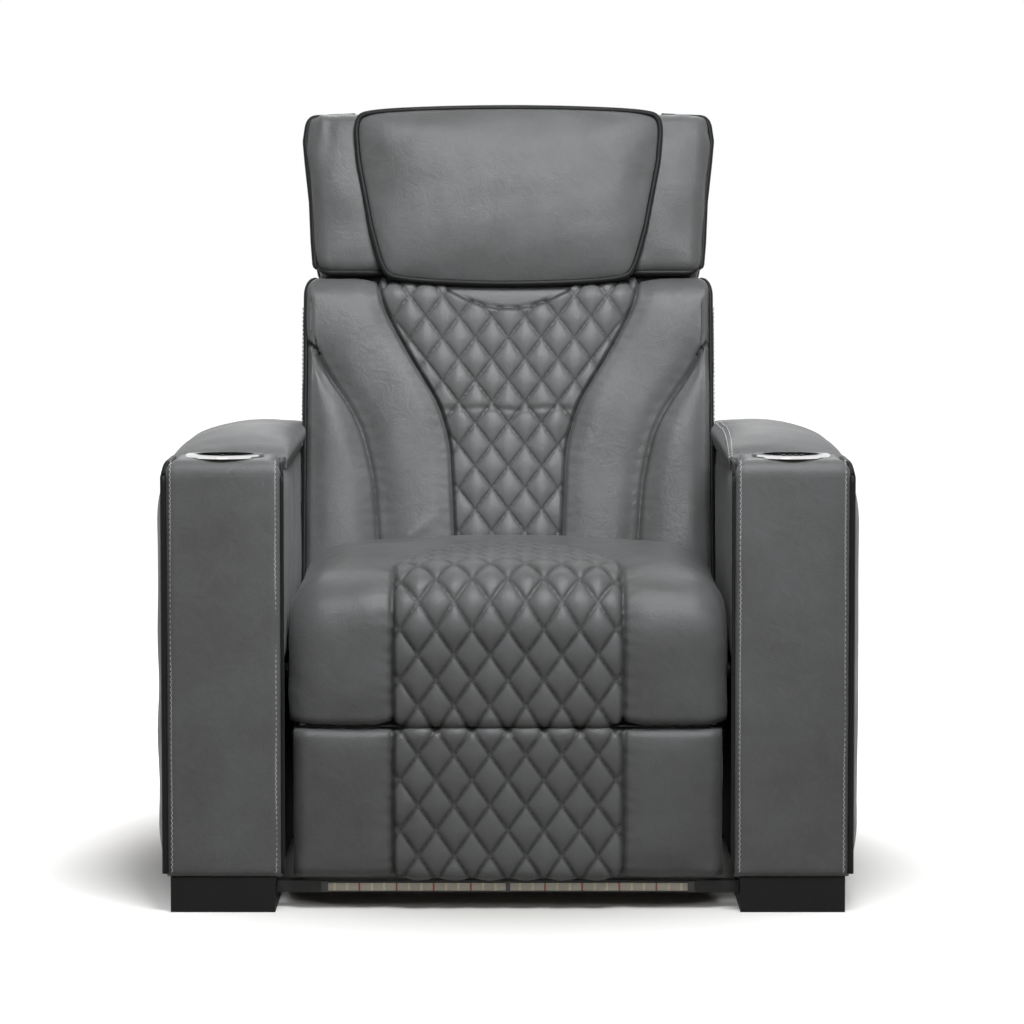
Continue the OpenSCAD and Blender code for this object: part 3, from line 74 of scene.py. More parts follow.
# %% Main sizes
FRONT = 430.5
ARM_MID, ARM_LOW, ARM_TOP, ARM_ROLL, RIM = 379.0, 47.3, 607.0, 22.0, 587.0
HINGE_D, HINGE_Z, LEAN = 610.0, 310.0, math.radians(15)
CELL_W, CELL_H, BACK_CELL_H = 48.4, 68.0, 64.0
FIELD_COLS, CELL_POINTS = 64, 20
CORD, BACK_CORD, THIN_CORD = 4.4, 4.0, 2.6


def row(p):
    """Depth becomes y by taking the arms' front reach off it, and millimetres become metres."""
    return (np.asarray(p, float) - [0, FRONT, 0]) / 1000


def unit(q):
    """The value kept between 0 and 1."""
    return np.clip(q, 0, 1)


def smooth_step(q):
    """From 0 to 1 with level ends: q squared times 3 - 2 q."""
    q = unit(q)
    return q * q * (3 - 2 * q)


def lean(p):
    """Back axes to x, depth, height: a turn by the lean, then a shift to the hinge."""
    x, y, z = np.moveaxis(np.asarray(p, float), -1, 0)
    return np.stack([x, HINGE_D + y * math.cos(LEAN) + z * math.sin(LEAN),
                     HINGE_Z - y * math.sin(LEAN) + z * math.cos(LEAN)], -1)


# %% [markdown]
# ## Camera
# The camera is an estimate: well in front, 6 m away and 1 m up, with a long lens, looking 4.4
# degrees down. The scale at the arms' fronts is 1.324 mm to a pixel, which with the distance gives
# the focal length: distance / scale = 4532 pixels of a 1024 pixel frame.

# %% Camera
focal_px = 4532
away_m, height_m, aside_m = 6.0, 1.0, 0.006
look_down, look_aside = math.radians(4.41), math.radians(0.005)
eye = bpy.data.cameras.new("camera")
eye.sensor_width = 36
eye.lens = 36 * focal_px / 1024
eye.clip_end = 60
camera = bpy.data.objects.new("camera", eye)
camera.location = (aside_m, -FRONT / 1000 - away_m, height_m)
camera.rotation_euler = (math.pi / 2 - look_down, 0, look_aside)
bpy.context.collection.objects.link(camera)
bpy.context.scene.camera = camera
print("lens", round(eye.lens, 1), "mm")

# %% [markdown]
# ## Finishes
# A material here is a small tree of nodes. Leather needs three scales at once: cloudy patches a
# hand wide, where the dye took differently, a pebbled grain near a millimetre, and pores finer
# still. Voronoi cells make the pebbles and noise makes the clouds, which also move the roughness.
# Painted shade darkens the seams and quilting lines, and the crown of each diamond is a little lighter;
# both read a value that the mesh carries, so they stay with the surface.

# %% Node helpers
def new_material(name):
    """An empty material with its output and principled shader."""
    mat = bpy.data.materials.new(name)
    mat.use_nodes = True
    tree = mat.node_tree
    tree.nodes.clear()
    skin = node(tree, "BsdfPrincipled")
    node(tree, "OutputMaterial", {0: skin.outputs[0]})
    return mat, tree, skin


def wire(tree, thing, values):
    """Fills a node's sockets from values: numbers, or links from other nodes."""
    for key, value in values.items():
        if isinstance(value, bpy.types.NodeSocket):
            tree.links.new(value, thing.inputs[key])
        else:
            thing.inputs[key].default_value = value
    return thing


def node(tree, kind, values=(), **settings):
    """One node with its settings, and its sockets filled from values."""
    made = tree.nodes.new("ShaderNode" + kind)
    for key, value in settings.items():
        setattr(made, key, value)
    return wire(tree, made, dict(values))


def ramp(tree, source, low, high, start=0.0, end=1.0):
    """A grey value carried from start..end to low..high."""
    return node(tree, "MapRange", {0: source, 1: start, 2: end, 3: low, 4: high}).outputs[0]


def blend_colour(tree, share, a, b):
    """Two colours mixed by a share."""
    return node(tree, "Mix", {0: share, 6: a, 7: b}, data_type="RGBA").outputs[2]


def calc(tree, operation, a, b=0.5):
    """The result of one Math node."""
    return node(tree, "Math", {0: a, 1: b}, operation=operation).outputs[0]


def object_place(tree):
    """A point's place in metres. Every object sits at the origin."""
    return node(tree, "TexCoord").outputs["Object"]


def noise(tree, place, scale, detail, rough=0.5, twist=0.0):
    """Cloudy noise between 0 and 1, finer with a larger scale."""
    return node(tree, "TexNoise", {"Vector": place, "Scale": scale, "Detail": detail,
                                   "Roughness": rough, "Distortion": twist}).outputs[0]


def bumped(tree, height, strength, distance, under=None):
    """The normal tilted by the slope of a height, on top of another tilt where one is given."""
    values = {"Strength": strength, "Distance": distance, "Height": height}
    if under is not None:
        values["Normal"] = under
    return node(tree, "Bump", values).outputs[0]


def grey(v, warm=0.0):
    """A linear grey, warmer above 0 and cooler below it."""
    return (v * (1 + warm), v, v * (1 - warm), 1)


# %% Leather
def leather(name, tone, rough=0.42, grain=1.0, stitched=False, shine=0.16):
    """Dyed cowhide: clouds of colour and pebbled grain, painted shade along the seams and quilting
    lines, and a little lighter on the crown of each diamond.
    """
    mat, tree, skin = new_material(name)
    place = object_place(tree)
    clouds = noise(tree, place, 9.0, 5.0, 0.62)
    patches = noise(tree, place, 38.0, 4.0, 0.7, 0.8)
    pebbles = node(tree, "TexVoronoi", {"Vector": place, "Scale": 620.0},
                   feature="DISTANCE_TO_EDGE").outputs[0]
    pores = noise(tree, place, 1500.0, 2.0)
    crease = node(tree, "Attribute", attribute_name="crease").outputs["Fac"]
    colour = blend_colour(tree, ramp(tree, clouds, 0, 1, 0.3, 0.7), grey(tone * 0.84, 0.012),
                          grey(tone * 1.14, -0.012))
    colour = blend_colour(tree, ramp(tree, patches, 0, 0.35, 0.45, 0.75), colour,
                          grey(tone * 1.35, 0.0))
    colour = blend_colour(tree, ramp(tree, pebbles, 0.22, 0.0, 0.0, 0.12), colour,
                          grey(tone * 0.45))
    # Painted shade: where crease is high, on the seams and the quilting lines, the leather is painted
    # almost black.
    colour = blend_colour(tree, ramp(tree, crease, 0, 0.85), colour, grey(tone * 0.16))
    # Where crease is below 0, on the crown of each diamond, the leather is made a little lighter.
    colour = blend_colour(tree, ramp(tree, crease, 0.3, 0, -0.3, 0), colour, grey(tone * 1.6))
    height = calc(tree, "ADD", ramp(tree, pebbles, 0, 1, 0, 0.25), ramp(tree, pores, 0, 0.5))
    tilt = bumped(tree, patches, 0.22, 0.004, bumped(tree, height, 0.16 * grain, 0.0012))
    if stitched:
        colour, tilt = quilt_stitches(tree, colour, tilt, tone)
    wire(tree, skin, {"Base Color": colour, "Normal": tilt, "Specular IOR Level": shine,
                      "Roughness": ramp(tree, clouds, rough - 0.07, rough + 0.09, 0.3, 0.7),
                      "Sheen Weight": 0.05})
    return mat


def quilt_stitches(tree, colour, under, tone):
    """The colour and the normal with thread along the diamonds. The map holds u and v in diamonds,
    so seams are where u + v or u - v is whole, and the other one of the two counts along the
    thread."""
    uv = node(tree, "UVMap", uv_map="quilt").outputs[0]
    split = node(tree, "SeparateXYZ", {0: uv})
    u, v = split.outputs[0], split.outputs[1]
    thread = None
    for sign, other in (("ADD", "SUBTRACT"), ("SUBTRACT", "ADD")):
        off = calc(tree, "PINGPONG", calc(tree, sign, u, v))
        near = ramp(tree, off, 1, 0, 0.010, 0.030)
        beat = calc(tree, "PINGPONG", calc(tree, "MULTIPLY", calc(tree, other, u, v), 4.5))
        both = calc(tree, "MULTIPLY", near, ramp(tree, beat, 0, 1, 0.08, 0.16))
        thread = both if thread is None else calc(tree, "MAXIMUM", thread, both)
    field = node(tree, "Attribute", attribute_name="quilted").outputs["Fac"]
    thread = calc(tree, "MULTIPLY", thread, field)
    shown = blend_colour(tree, ramp(tree, thread, 0, 0.8), colour, grey(tone * 0.9))
    return shown, bumped(tree, thread, 0.3, 0.001, under)


GREY = 0.066
# The quilted copy is 7 % darker and the arm copy 8 % lighter than the plain grey: painted shade on the
# quilted cushions and painted light on the arms, one leather under different light.
hide_main = leather("leather_grey", GREY, 0.40)
hide_quilt = leather("leather_quilted", GREY * 0.93, 0.36, 1.0, stitched=True)
hide_arm = leather("leather_arm", GREY * 1.08, 0.44)
hide_black = leather("leather_black_piping", 0.004, 0.5, 0.5, shine=0.12)

# %% [markdown]
# The other finishes are simple to the eye but never one flat colour: zinc plate is brushed and
# slightly cloudy, powder coat has an orange-peel skin, plywood shows long streaks, moulded plastic
# has a fine spark texture, and chrome carries faint hairlines. The black ones reflect little, so
# that they stay black beside a white floor. A cup holder is chrome at its flange, and inside the
# cup it is painted almost black, as painted shade.

# %% Other finishes
def hard_finish(name, low, high, metal, rough, scale, stretch=(1, 1, 1), bump=0.1, shine=0.5):
    """A hard surface whose colour and roughness follow one noise, drawn out along an axis."""
    mat, tree, skin = new_material(name)
    place = object_place(tree)
    drawn = node(tree, "Mapping", {"Vector": place, "Scale": stretch}).outputs[0]
    streak, cloud = noise(tree, drawn, scale, 6.0, 0.65), noise(tree, place, 14.0, 3.0)
    both = calc(tree, "ADD", ramp(tree, streak, 0, 0.7, 0.3, 0.7), ramp(tree, cloud, 0, 0.3, 0.3, 0.7))
    wire(tree, skin, {"Base Color": blend_colour(tree, both, low, high), "Metallic": metal,
                      "Roughness": ramp(tree, both, rough * 0.8, rough * 1.25),
                      "Normal": bumped(tree, streak, bump, 0.0006), "Specular IOR Level": shine})
    return mat


zinc = hard_finish("zinc_plate", grey(0.42, 0.02), grey(0.6), 1.0, 0.34, 160, (0.1, 1, 1), 0.12)
powder = hard_finish("powder_coat", grey(0.012), grey(0.024), 0.0, 0.42, 700, (1, 1, 1), 0.25,
                     shine=0.15)
plywood = hard_finish("plywood", (0.44, 0.29, 0.16, 1), (0.66, 0.5, 0.31, 1), 0.0, 0.6, 60,
                      (1, 1, 0.06), 0.2)
plastic = hard_finish("black_plastic", grey(0.012), grey(0.026), 0.0, 0.45, 900, (1, 1, 1), 0.3)
feet_black = hard_finish("feet_black", grey(0.008), grey(0.014), 0.0, 0.5, 500, (1, 1, 1), 0.25,
                         shine=0.08)
rail_black = hard_finish("rail_black", grey(0.010), grey(0.022), 0.0, 0.35, 300, (0.2, 1, 1), 0.1,
                         shine=0.2)
lining = hard_finish("black_lining", grey(0.006), grey(0.016), 0.0, 0.85, 1100, (1, 1, 1), 0.4,
                     shine=0.08)
thread_light = hard_finish("thread_light", grey(0.24), grey(0.4), 0.0, 0.7, 800, (1, 1, 1), 0.3)


def cup_finish():
    """Chrome on the flange, and painted shade inside the cup, almost black: the height tells which it
    is.
    """
    mat = hard_finish("chrome", grey(0.72), grey(0.86), 1.0, 0.09, 90, (1, 1, 14), 0.03)
    tree = mat.node_tree
    colour = tree.nodes["Principled BSDF"].inputs["Base Color"]
    bright = colour.links[0].from_socket
    z = node(tree, "SeparateXYZ", {0: object_place(tree)}).outputs[2]
    # Painted shade: below the flange the inside of the cup is painted almost black.
    inside = ramp(tree, z, 1, 0, 0.6035, 0.6065)
    tree.links.new(blend_colour(tree, inside, bright, grey(0.02)), colour)
    return mat


def webbing_finish():
    """Woven elastic: two waves crossing make the weave."""
    mat, tree, skin = new_material("webbing")
    place = object_place(tree)
    warp = node(tree, "TexWave", {"Vector": place, "Scale": 170.0}, bands_direction="X").outputs[1]
    weft = node(tree, "TexWave", {"Vector": place, "Scale": 170.0}, bands_direction="Y").outputs[1]
    weave = calc(tree, "MULTIPLY", warp, weft)
    wire(tree, skin, {"Base Color": blend_colour(tree, weave, grey(0.012), grey(0.06)),
                      "Normal": bumped(tree, weave, 0.5, 0.001), "Roughness": 0.85})
    return mat


def light_finish():
    """The light strip: a milky band with small square lamps and copper marks between them."""
    mat, tree, skin = new_material("light_strip")
    place = object_place(tree)
    x = node(tree, "SeparateXYZ", {0: place}).outputs[0]
    lamp = ramp(tree, calc(tree, "PINGPONG", calc(tree, "MULTIPLY", x, 60.0)), 1, 0, 0.08, 0.11)
    mark = ramp(tree, calc(tree, "PINGPONG", calc(tree, "MULTIPLY", x, 20.0)), 1, 0, 0.02, 0.035)
    base = blend_colour(tree, lamp, (0.34, 0.32, 0.27, 1), (0.5, 0.46, 0.3, 1))
    base = blend_colour(tree, mark, base, (0.22, 0.04, 0.03, 1))
    wire(tree, skin, {"Base Color": base, "Normal": bumped(tree, lamp, 0.4, 0.001),
                      "Roughness": 0.3})
    return mat


chrome = cup_finish()
webbing = webbing_finish()
light_milk = light_finish()


def dress(material, *names):
    """Gives carried-over pieces of the frame their finish."""
    for name in names:
        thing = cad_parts[name]
        if not thing.material_slots:
            thing.data.materials.append(material)
        for place in thing.material_slots:
            place.material = material


dress(feet_black, "feet")
dress(zinc, "pivot_pins", "lid_hinge_bases", "lid_leaf_left", "lid_leaf_right",
      "footrest_brackets", "front_cranks", "rear_cranks", "upper_couplers", "lower_couplers",
      "footrest_rod", "recline_rod", "headrest_rod")
dress(powder, "bolts", "side_plates", "cross_tubes", "seat_frame", "back_frame", "back_brackets",
      "headrest_frame")
dress(plywood, "lid_board_left", "lid_board_right", "footrest_board")
dress(lining, "arm_frame_left", "arm_frame_right")
dress(chrome, "cup_holder_left", "cup_holder_right")
dress(plastic, "control_pads", "light_button", "footrest_up_button", "footrest_down_button",
      "head_up_button", "head_down_button", "storage_tub_left", "storage_tub_right",
      "footrest_motor", "recline_motor", "headrest_motor", "power_supply", "light_clips")
dress(rail_black, "light_rail")
dress(light_milk, "light_strip")
print("dressed", len(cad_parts), "pieces of the frame")

# %% [markdown]
# ## From a grid of points to a mesh
# Every surface below is a grid: rows along a path and columns across it. Neighbouring points make
# quads. A pad is a tube of such quads, because its first and last columns both lie on the hidden
# base, closed at its two ends by fans. The signed volume tells whether the faces point outwards,
# and they are turned round if it is negative.

# %% Mesh helpers
def grid_quads(m, n, rows_closed=False, cols_closed=False, start=0):
    """Corner numbers of every quad of an m by n grid: point (i, j) has the number i * n + j."""
    i, j = np.meshgrid(np.arange(m if rows_closed else m - 1),
                       np.arange(n if cols_closed else n - 1), indexing="ij")
    a, b = (i % m) * n, ((i + 1) % m) * n
    c, d = j % n, (j + 1) % n
    return start + np.stack([a + c, a + d, b + d, b + c], -1).reshape(-1, 4)


def make(name, points, quads, tris=(), uv=None, values=None, material=None, smooth_tris=False):
    """A mesh object from points in millimetres, with its maps and carried values."""
    points = row(points)
    quads = np.asarray(quads, int).reshape(-1, 4)
    tris = np.asarray(tris, int).reshape(-1, 3)
    halves = np.concatenate([quads[:, :3], quads[:, [0, 2, 3]], tris])
    a, b, c = (points[halves[:, k]] for k in range(3))
    if np.einsum("ij,ij->", a - points.mean(0), np.cross(b - points.mean(0), c - points.mean(0))) < 0:
        quads, tris = quads[:, ::-1], tris[:, ::-1]
    mesh = bpy.data.meshes.new(name)
    mesh.from_pydata(points.tolist(), [], quads.tolist() + tris.tolist())
    smooth = np.ones(len(mesh.polygons), bool)
    smooth[len(quads):] = smooth_tris
    mesh.polygons.foreach_set("use_smooth", smooth)
    if uv is not None:
        corner = np.zeros(len(mesh.loops), int)
        mesh.loops.foreach_get("vertex_index", corner)
        mesh.uv_layers.new(name="quilt").data.foreach_set("uv", uv[corner].astype(np.float32).ravel())
    for key, value in (values or {}).items():
        data = mesh.attributes.new(key, "FLOAT", "POINT").data
        data.foreach_set("value", np.asarray(value, np.float32).ravel())
    mesh.update()
    thing = bpy.data.objects.new(name, mesh)
    bpy.context.collection.objects.link(thing)
    if material:
        mesh.materials.append(material)
    return thing


def end_fans(m, n, first, last):
    """Two fans that close a tube of m rows: first and last are the numbers of their middles."""
    j = np.arange(n)
    k = (j + 1) % n
    low = np.stack([k, j, np.full(n, first)], -1)
    high = np.stack([(m - 1) * n + j, (m - 1) * n + k, np.full(n, last)], -1)
    return np.concatenate([low, high])


def pad(name, surface, uv=None, values=None, material=None):
    """A closed pad from its grid: quads round the tube, a strip along its base, fans at the ends."""
    m, n = surface.shape[:2]
    points = np.concatenate([surface.reshape(-1, 3), surface[0].mean(0)[None],
                             surface[-1].mean(0)[None]])
    more = {k: np.append(v.ravel(), [0, 0]) for k, v in (values or {}).items()}
    if uv is not None:
        uv = np.concatenate([uv.reshape(-1, 2), [[0, 0], [0, 0]]])
    return make(name, points, grid_quads(m, n, cols_closed=True),
                end_fans(m, n, m * n, m * n + 1), uv, more, material)


def tube(name, path, radius, closed=False, sides=10, material=None):
    """A round cord along a path: each ring stands square to the path. Its side vector is the cross
    product of the direction with one fixed axis, the one that the path keeps away from best."""
    path = np.asarray(path, float)
    if closed:
        ahead = np.roll(path, -1, 0) - np.roll(path, 1, 0)
    else:
        ahead = np.gradient(path, axis=0)
    ahead /= np.linalg.norm(ahead, axis=1)[:, None]
    change = ahead.max(0) - ahead.min(0)
    up = np.eye(3)[int(np.argmin(change + 2 * np.abs(ahead).max(0)))]
    side = np.cross(ahead, up)
    side /= np.linalg.norm(side, axis=1)[:, None]
    other = np.cross(ahead, side)
    turn = np.linspace(0, 2 * np.pi, sides, endpoint=False)
    rings = (path[:, None] + radius * (np.cos(turn)[None, :, None] * side[:, None]
                                       + np.sin(turn)[None, :, None] * other[:, None]))
    m = len(path)
    if closed:
        return make(name, rings.reshape(-1, 3), grid_quads(m, sides, True, True),
                    material=material)
    points = np.concatenate([rings.reshape(-1, 3), path[:1], path[-1:]])
    return make(name, points, grid_quads(m, sides, cols_closed=True),
                end_fans(m, sides, m * sides, m * sides + 1), material=material, smooth_tris=True)


def resample(path, step):
    """The same path with its points evenly spaced, by adding up the lengths of its pieces."""
    path = np.asarray(path, float)
    run = np.concatenate([[0], np.cumsum(np.linalg.norm(np.diff(path, axis=0), axis=1))])
    even = np.linspace(0, run[-1], max(2, int(round(run[-1] / step)) + 1))
    return np.stack([np.interp(even, run, path[:, k]) for k in range(path.shape[1])], -1), even


def arc(centre, radius, start, end, count=10):
    """Points on a circle in the side view, angles in degrees."""
    turn = np.radians(np.linspace(start, end, count))
    return [(centre[0] + radius * math.cos(t), centre[1] + radius * math.sin(t)) for t in turn]


def stitches(name, path, out, pitch, length, radius, material=None):
    """A row of stitches along a path. Each is a spindle: rings of six points round a bar that
    thins towards both ends, repeated at every pitch, and out sets how each ring is turned about
    the bar. Without a pitch, each piece of the path is one stitch."""
    if pitch is None:
        path = np.asarray(path, float)
        spots, ahead = (path[1:] + path[:-1]) / 2, np.diff(path, axis=0)
    else:
        spots, _ = resample(path, pitch)
        ahead = np.gradient(spots, axis=0)
    ahead /= np.linalg.norm(ahead, axis=1)[:, None]
    out = np.broadcast_to(np.asarray(out, float), spots.shape)
    side = np.cross(ahead, out)
    side /= np.linalg.norm(side, axis=1)[:, None]
    lift = np.cross(side, ahead)
    along = np.array([-0.5, -0.36, 0, 0.36, 0.5]) * length
    thick = np.array([0.25, 0.8, 1, 0.8, 0.25]) * radius
    turn = np.linspace(0, 2 * np.pi, 6, endpoint=False)
    ring = (along[None, :, None, None] * ahead[:, None, None]
            + thick[None, :, None, None] * (np.cos(turn)[None, None, :, None] * side[:, None, None]
                                            + np.sin(turn)[None, None, :, None]
                                            * lift[:, None, None]))
    points = (spots[:, None, None] + ring).reshape(-1, 3)
    count = len(spots)
    one = grid_quads(5, 6, cols_closed=True)
    quads = (one[None] + (np.arange(count) * 30)[:, None, None]).reshape(-1, 4)
    caps = np.array([[0, 2, 1], [0, 3, 2], [0, 4, 3], [0, 5, 4]])
    caps = np.concatenate([caps, caps[:, ::-1] + 24])
    tris = (caps[None] + (np.arange(count) * 30)[:, None, None]).reshape(-1, 3)
    return make(name, points, quads, tris, material=material, smooth_tris=True)


# %% [markdown]
# ## Padding
# A cushion is foam pressing leather outwards between its seams. Blender's cloth does just this:
# the pad is copied with fewer points, its seams and its base are held, and pressure swells the
# rest for twenty frames without gravity. How far each point moved is then spread back over the
# fine grid, so that the sewing worked out in numpy keeps its sharpness.

# %% Padding by cloth
def blurred(line, times):
    """Each value averaged with its neighbours, 1 : 2 : 1, the ends repeated, several times over."""
    for _ in range(times):
        wide = np.concatenate([line[:1], line, line[-1:]])
        line = (wide[:-2] + 2 * wide[1:-1] + wide[2:]) / 4
    return line


def eased(line, times):
    """The same averaging, with both ends kept."""
    for _ in range(times):
        line = np.concatenate([line[:1], (line[:-2] + 2 * line[1:-1] + line[2:]) / 4, line[-1:]])
    return line


def spread(count_fine, at_coarse, blur):
    """A matrix that carries coarse values to fine rows: straight lines, then blurred."""
    fine = np.arange(count_fine)
    carry = np.stack([np.interp(fine, at_coarse, one) for one in np.eye(len(at_coarse))], -1)
    return blurred(carry, blur)


def swell(surface, held, pressure=4.0, cap=24.0, every=4, sideways=1.0, frames=20):
    """The surface after its padding has pressed it outwards. held is 1 at seams and on the base.
    Rows at the thin ends are left out, sideways damps the swelling along x, and cap limits it:
    the shift is cap times the hyperbolic tangent of its length over cap."""
    m, n = surface.shape[:2]
    deep = np.linalg.norm((surface[:, n // 2] - surface[:, 0])[:, 1:], axis=-1)
    thick = np.flatnonzero(deep > 0.3 * deep.max())
    i = np.unique(np.append(np.arange(thick[0], thick[-1], every), thick[-1]))
    j = np.unique(np.append(np.arange(0, n, every), n - 1))
    coarse, tight = surface[np.ix_(i, j)], held[np.ix_(i, j)].copy()
    tight[[0, -1]] = 1
    thing = pad("padding", coarse)
    group = thing.vertex_groups.new(name="held")
    fixed = np.flatnonzero(np.append(tight.ravel(), [1, 1]) > 0.5)
    group.add(fixed.tolist(), 1.0, "REPLACE")
    cloth = thing.modifiers.new("cloth", "CLOTH")
    cloth.settings.vertex_group_mass = "held"
    cloth.settings.use_pressure = True
    cloth.settings.uniform_pressure_force = pressure
    cloth.settings.effector_weights.gravity = 0
    cloth.collision_settings.use_collision = False
    cloth.point_cache.frame_end = frames
    for f in range(1, frames + 1):
        bpy.context.scene.frame_set(f)
    done = thing.evaluated_get(bpy.context.evaluated_depsgraph_get()).data
    moved = np.zeros(len(done.vertices) * 3)
    done.vertices.foreach_get("co", moved)
    moved = moved.reshape(-1, 3)[:len(i) * len(j)].reshape(len(i), len(j), 3)
    shift = (moved * 1000 + [0, FRONT, 0] - coarse) * [sideways, 1, 1]
    length = np.linalg.norm(shift, axis=-1, keepdims=True)
    shift *= cap * np.tanh(length / cap) / np.maximum(length, 1e-6)
    shift[tight > 0.5] = 0
    bpy.data.objects.remove(thing)
    bpy.context.scene.frame_set(1)
    assert length.max() > 0.5, "the padding did not swell"
    print("  padding of", len(i) * len(j), "points swelled by up to",
          round(float(length.max()), 1), "mm, kept within", cap)
    rows, cols = spread(m, i, every), spread(n, j, every)
    rows[:thick[0]], rows[thick[-1] + 1:] = 0, 0
    return surface + np.einsum("ai,bj,ijk->abk", rows, cols, shift)


def ripple(a, b, size, seed):
    """A soft random field: eight plane waves of about the given size in random directions."""
    pick = np.random.default_rng(seed)
    out = np.zeros(np.broadcast(a, b).shape)
    for _ in range(8):
        turn, phase = pick.uniform(0, 2 * np.pi, 2)
        k = 2 * np.pi / (size * pick.uniform(0.7, 1.5))
        out = out + np.sin(k * (a * math.cos(turn) + b * math.sin(turn)) + phase)
    return out / 4


def normals_of(surface):
    """The unit normals of a grid, from the cross product of its two slopes."""
    n = np.cross(np.gradient(surface, axis=0), np.gradient(surface, axis=1))
    return n / np.maximum(np.linalg.norm(n, axis=-1, keepdims=True), 1e-9)


def towards_front(surface):
    """The normals, all turned so that the one in the middle points forward or up."""
    out = normals_of(surface)
    middle = out[out.shape[0] // 2, out.shape[1] // 2]
    return -out if middle[1] - middle[2] > 0 else out


def diamonds(u, v, puff):
    """Height of quilting: the product of two sines is 0 on the seams and 1 amid a diamond, and its
    low power makes the pillows full and the seams narrow."""
    return puff * (np.abs(np.sin(np.pi * (u + v)) * np.sin(np.pi * (u - v)))) ** 0.4


def quilt_lines(u, v, width=2.1):
    """1 on the quilting seams, which are where u + v or u - v is whole, and 0 away from them."""
    off = [np.abs(q - np.round(q)) / math.hypot(1 / CELL_W, 1 / CELL_H) for q in (u + v, u - v)]
    return np.exp(-(np.minimum(*off) / width) ** 2)


def groove(distance, width):
    """1 on a seam, falling away to both sides."""
    return np.exp(-(distance / width) ** 2)


def base_heights(z, run):
    """Heights of the base points: mostly those of the outer path, and partly a straight climb along
    the run, so that no two of them coincide where the path runs level."""
    return 0.6 * z + 0.4 * np.interp(run, [0, run[-1]], [z[0], z[-1]])


def section(columns, half, roll, drop, roll_count=12, wall_count=5):
    """Half a cross-section as x and share of thickness: the given columns on top, a quarter round
    that falls by drop, then a straight wall down to the base."""
    a = np.linspace(0, np.pi / 2, roll_count + 1)[1:]
    x = np.concatenate([columns, half - roll + roll * np.sin(a), np.full(wall_count, half)])
    h = np.concatenate([np.ones(len(columns)), 1 - drop * (1 - np.cos(a)),
                        np.linspace(1 - drop, 0, wall_count + 1)[1:]])
    return x, h


def both_sides(x, h):
    """The whole cross-section from half of one."""
    return np.concatenate([-x[:0:-1], x]), np.concatenate([h[:0:-1], h])


def ruled(x, h, base, outer):
    """A ruled form: at each x, the base path plus the share h of the way to the outer path."""
    yz = base[:, None] + h[None, :, None] * (outer - base)[:, None]
    return np.concatenate([np.broadcast_to(x, yz.shape[:2])[..., None], yz], -1)


def on_body(thing, body, nodes=()):
    """Everything a finished piece has to say: its body and what it replaces."""
    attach(thing, body)
    if nodes:
        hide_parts(*nodes)
    print(thing.name, len(thing.data.polygons), "faces on", body)
    return thing

# %% [markdown]
# ## Seat cushion
# The seat is one long cushion: a lip underneath, a straight front, a generous front roll and a
# crowned top that runs back under the back cushion. Its middle is quilted in diamonds, in a field
# that ends in an arch at the rear, and the sides are plain bolsters that swell between deep seams.
# It is worked out as a ruled form: the outer path in the side view, the base path behind it, and a
# cross-section that runs from one to the other.

# %% Seat path
seat_front, seat_low, seat_top, seat_lip, seat_roll = 20.0, 250.5, 450.0, 10.0, 78.0
seat_path = ([(73, seat_low), (40, seat_low)]
             + arc((seat_front + seat_lip, seat_low + seat_lip), seat_lip, -90, -180)
             + [(seat_front, 300), (seat_front, seat_top - seat_roll)]
             + arc((seat_front + seat_roll, seat_top - seat_roll), seat_roll, 180, 90, 20)
             + [(563, seat_top)])
seat_outer, seat_run = resample(seat_path, CELL_H / CELL_POINTS)
seat_base = np.stack([np.interp(seat_run, [0, 235, seat_run[-1]], [75, 75, 531]),
                      np.interp(seat_run, [0, 235, seat_run[-1]], [seat_low, 331.5, 331.5])], -1)
seat_half, seat_seam = 294.0, 154.0
arch_run, arch_long = 295.0, 310.0
print("seat path", round(float(seat_run[-1])), "mm long")
inner_cols = np.linspace(0, seat_seam, FIELD_COLS + 1)
outer_cols = np.linspace(seat_seam, seat_half - 50, 24)[1:]
sx, sh = both_sides(*section(np.concatenate([inner_cols, outer_cols]), seat_half, 50, 0.42, 16, 8))
print("seat grid:", len(seat_run), "rows by", len(sx), "columns")

# %% Seat surface
def seat_surface():
    """Base plus share of thickness times the way to the outer path, which is lifted along its own
    normal by the crown, which is highest in the middle."""
    on_top = smooth_step((seat_run - 140) / 150)[:, None]
    x = np.broadcast_to(sx, (len(seat_run), len(sx)))
    normal = np.gradient(seat_outer, axis=0)
    normal = np.stack([-normal[:, 1], normal[:, 0]], -1)
    normal /= np.linalg.norm(normal, axis=1)[:, None]
    crown = (11 - 20 * (x / seat_half) ** 2) * on_top + 2.5 * (1 - on_top) * unit(
        seat_run / 40)[:, None]
    yz = (seat_base[:, None] + sh[None, :, None]
          * (seat_outer[:, None] + crown[..., None] * normal[:, None] - seat_base[:, None]))
    return np.concatenate([x[..., None], yz], -1)


seat = seat_surface()
seat_x = seat[..., 0].copy()
reach = np.abs(seat[..., 0])
held = ((reach < seat_seam + 3) | (sh[None, :] < 0.25)
        | (seat_run < 24)[:, None] | (seat_run > seat_run[-1] - 10)[:, None]).astype(float)
seat = swell(seat, held, pressure=6.0, cap=14.0, sideways=0.2)

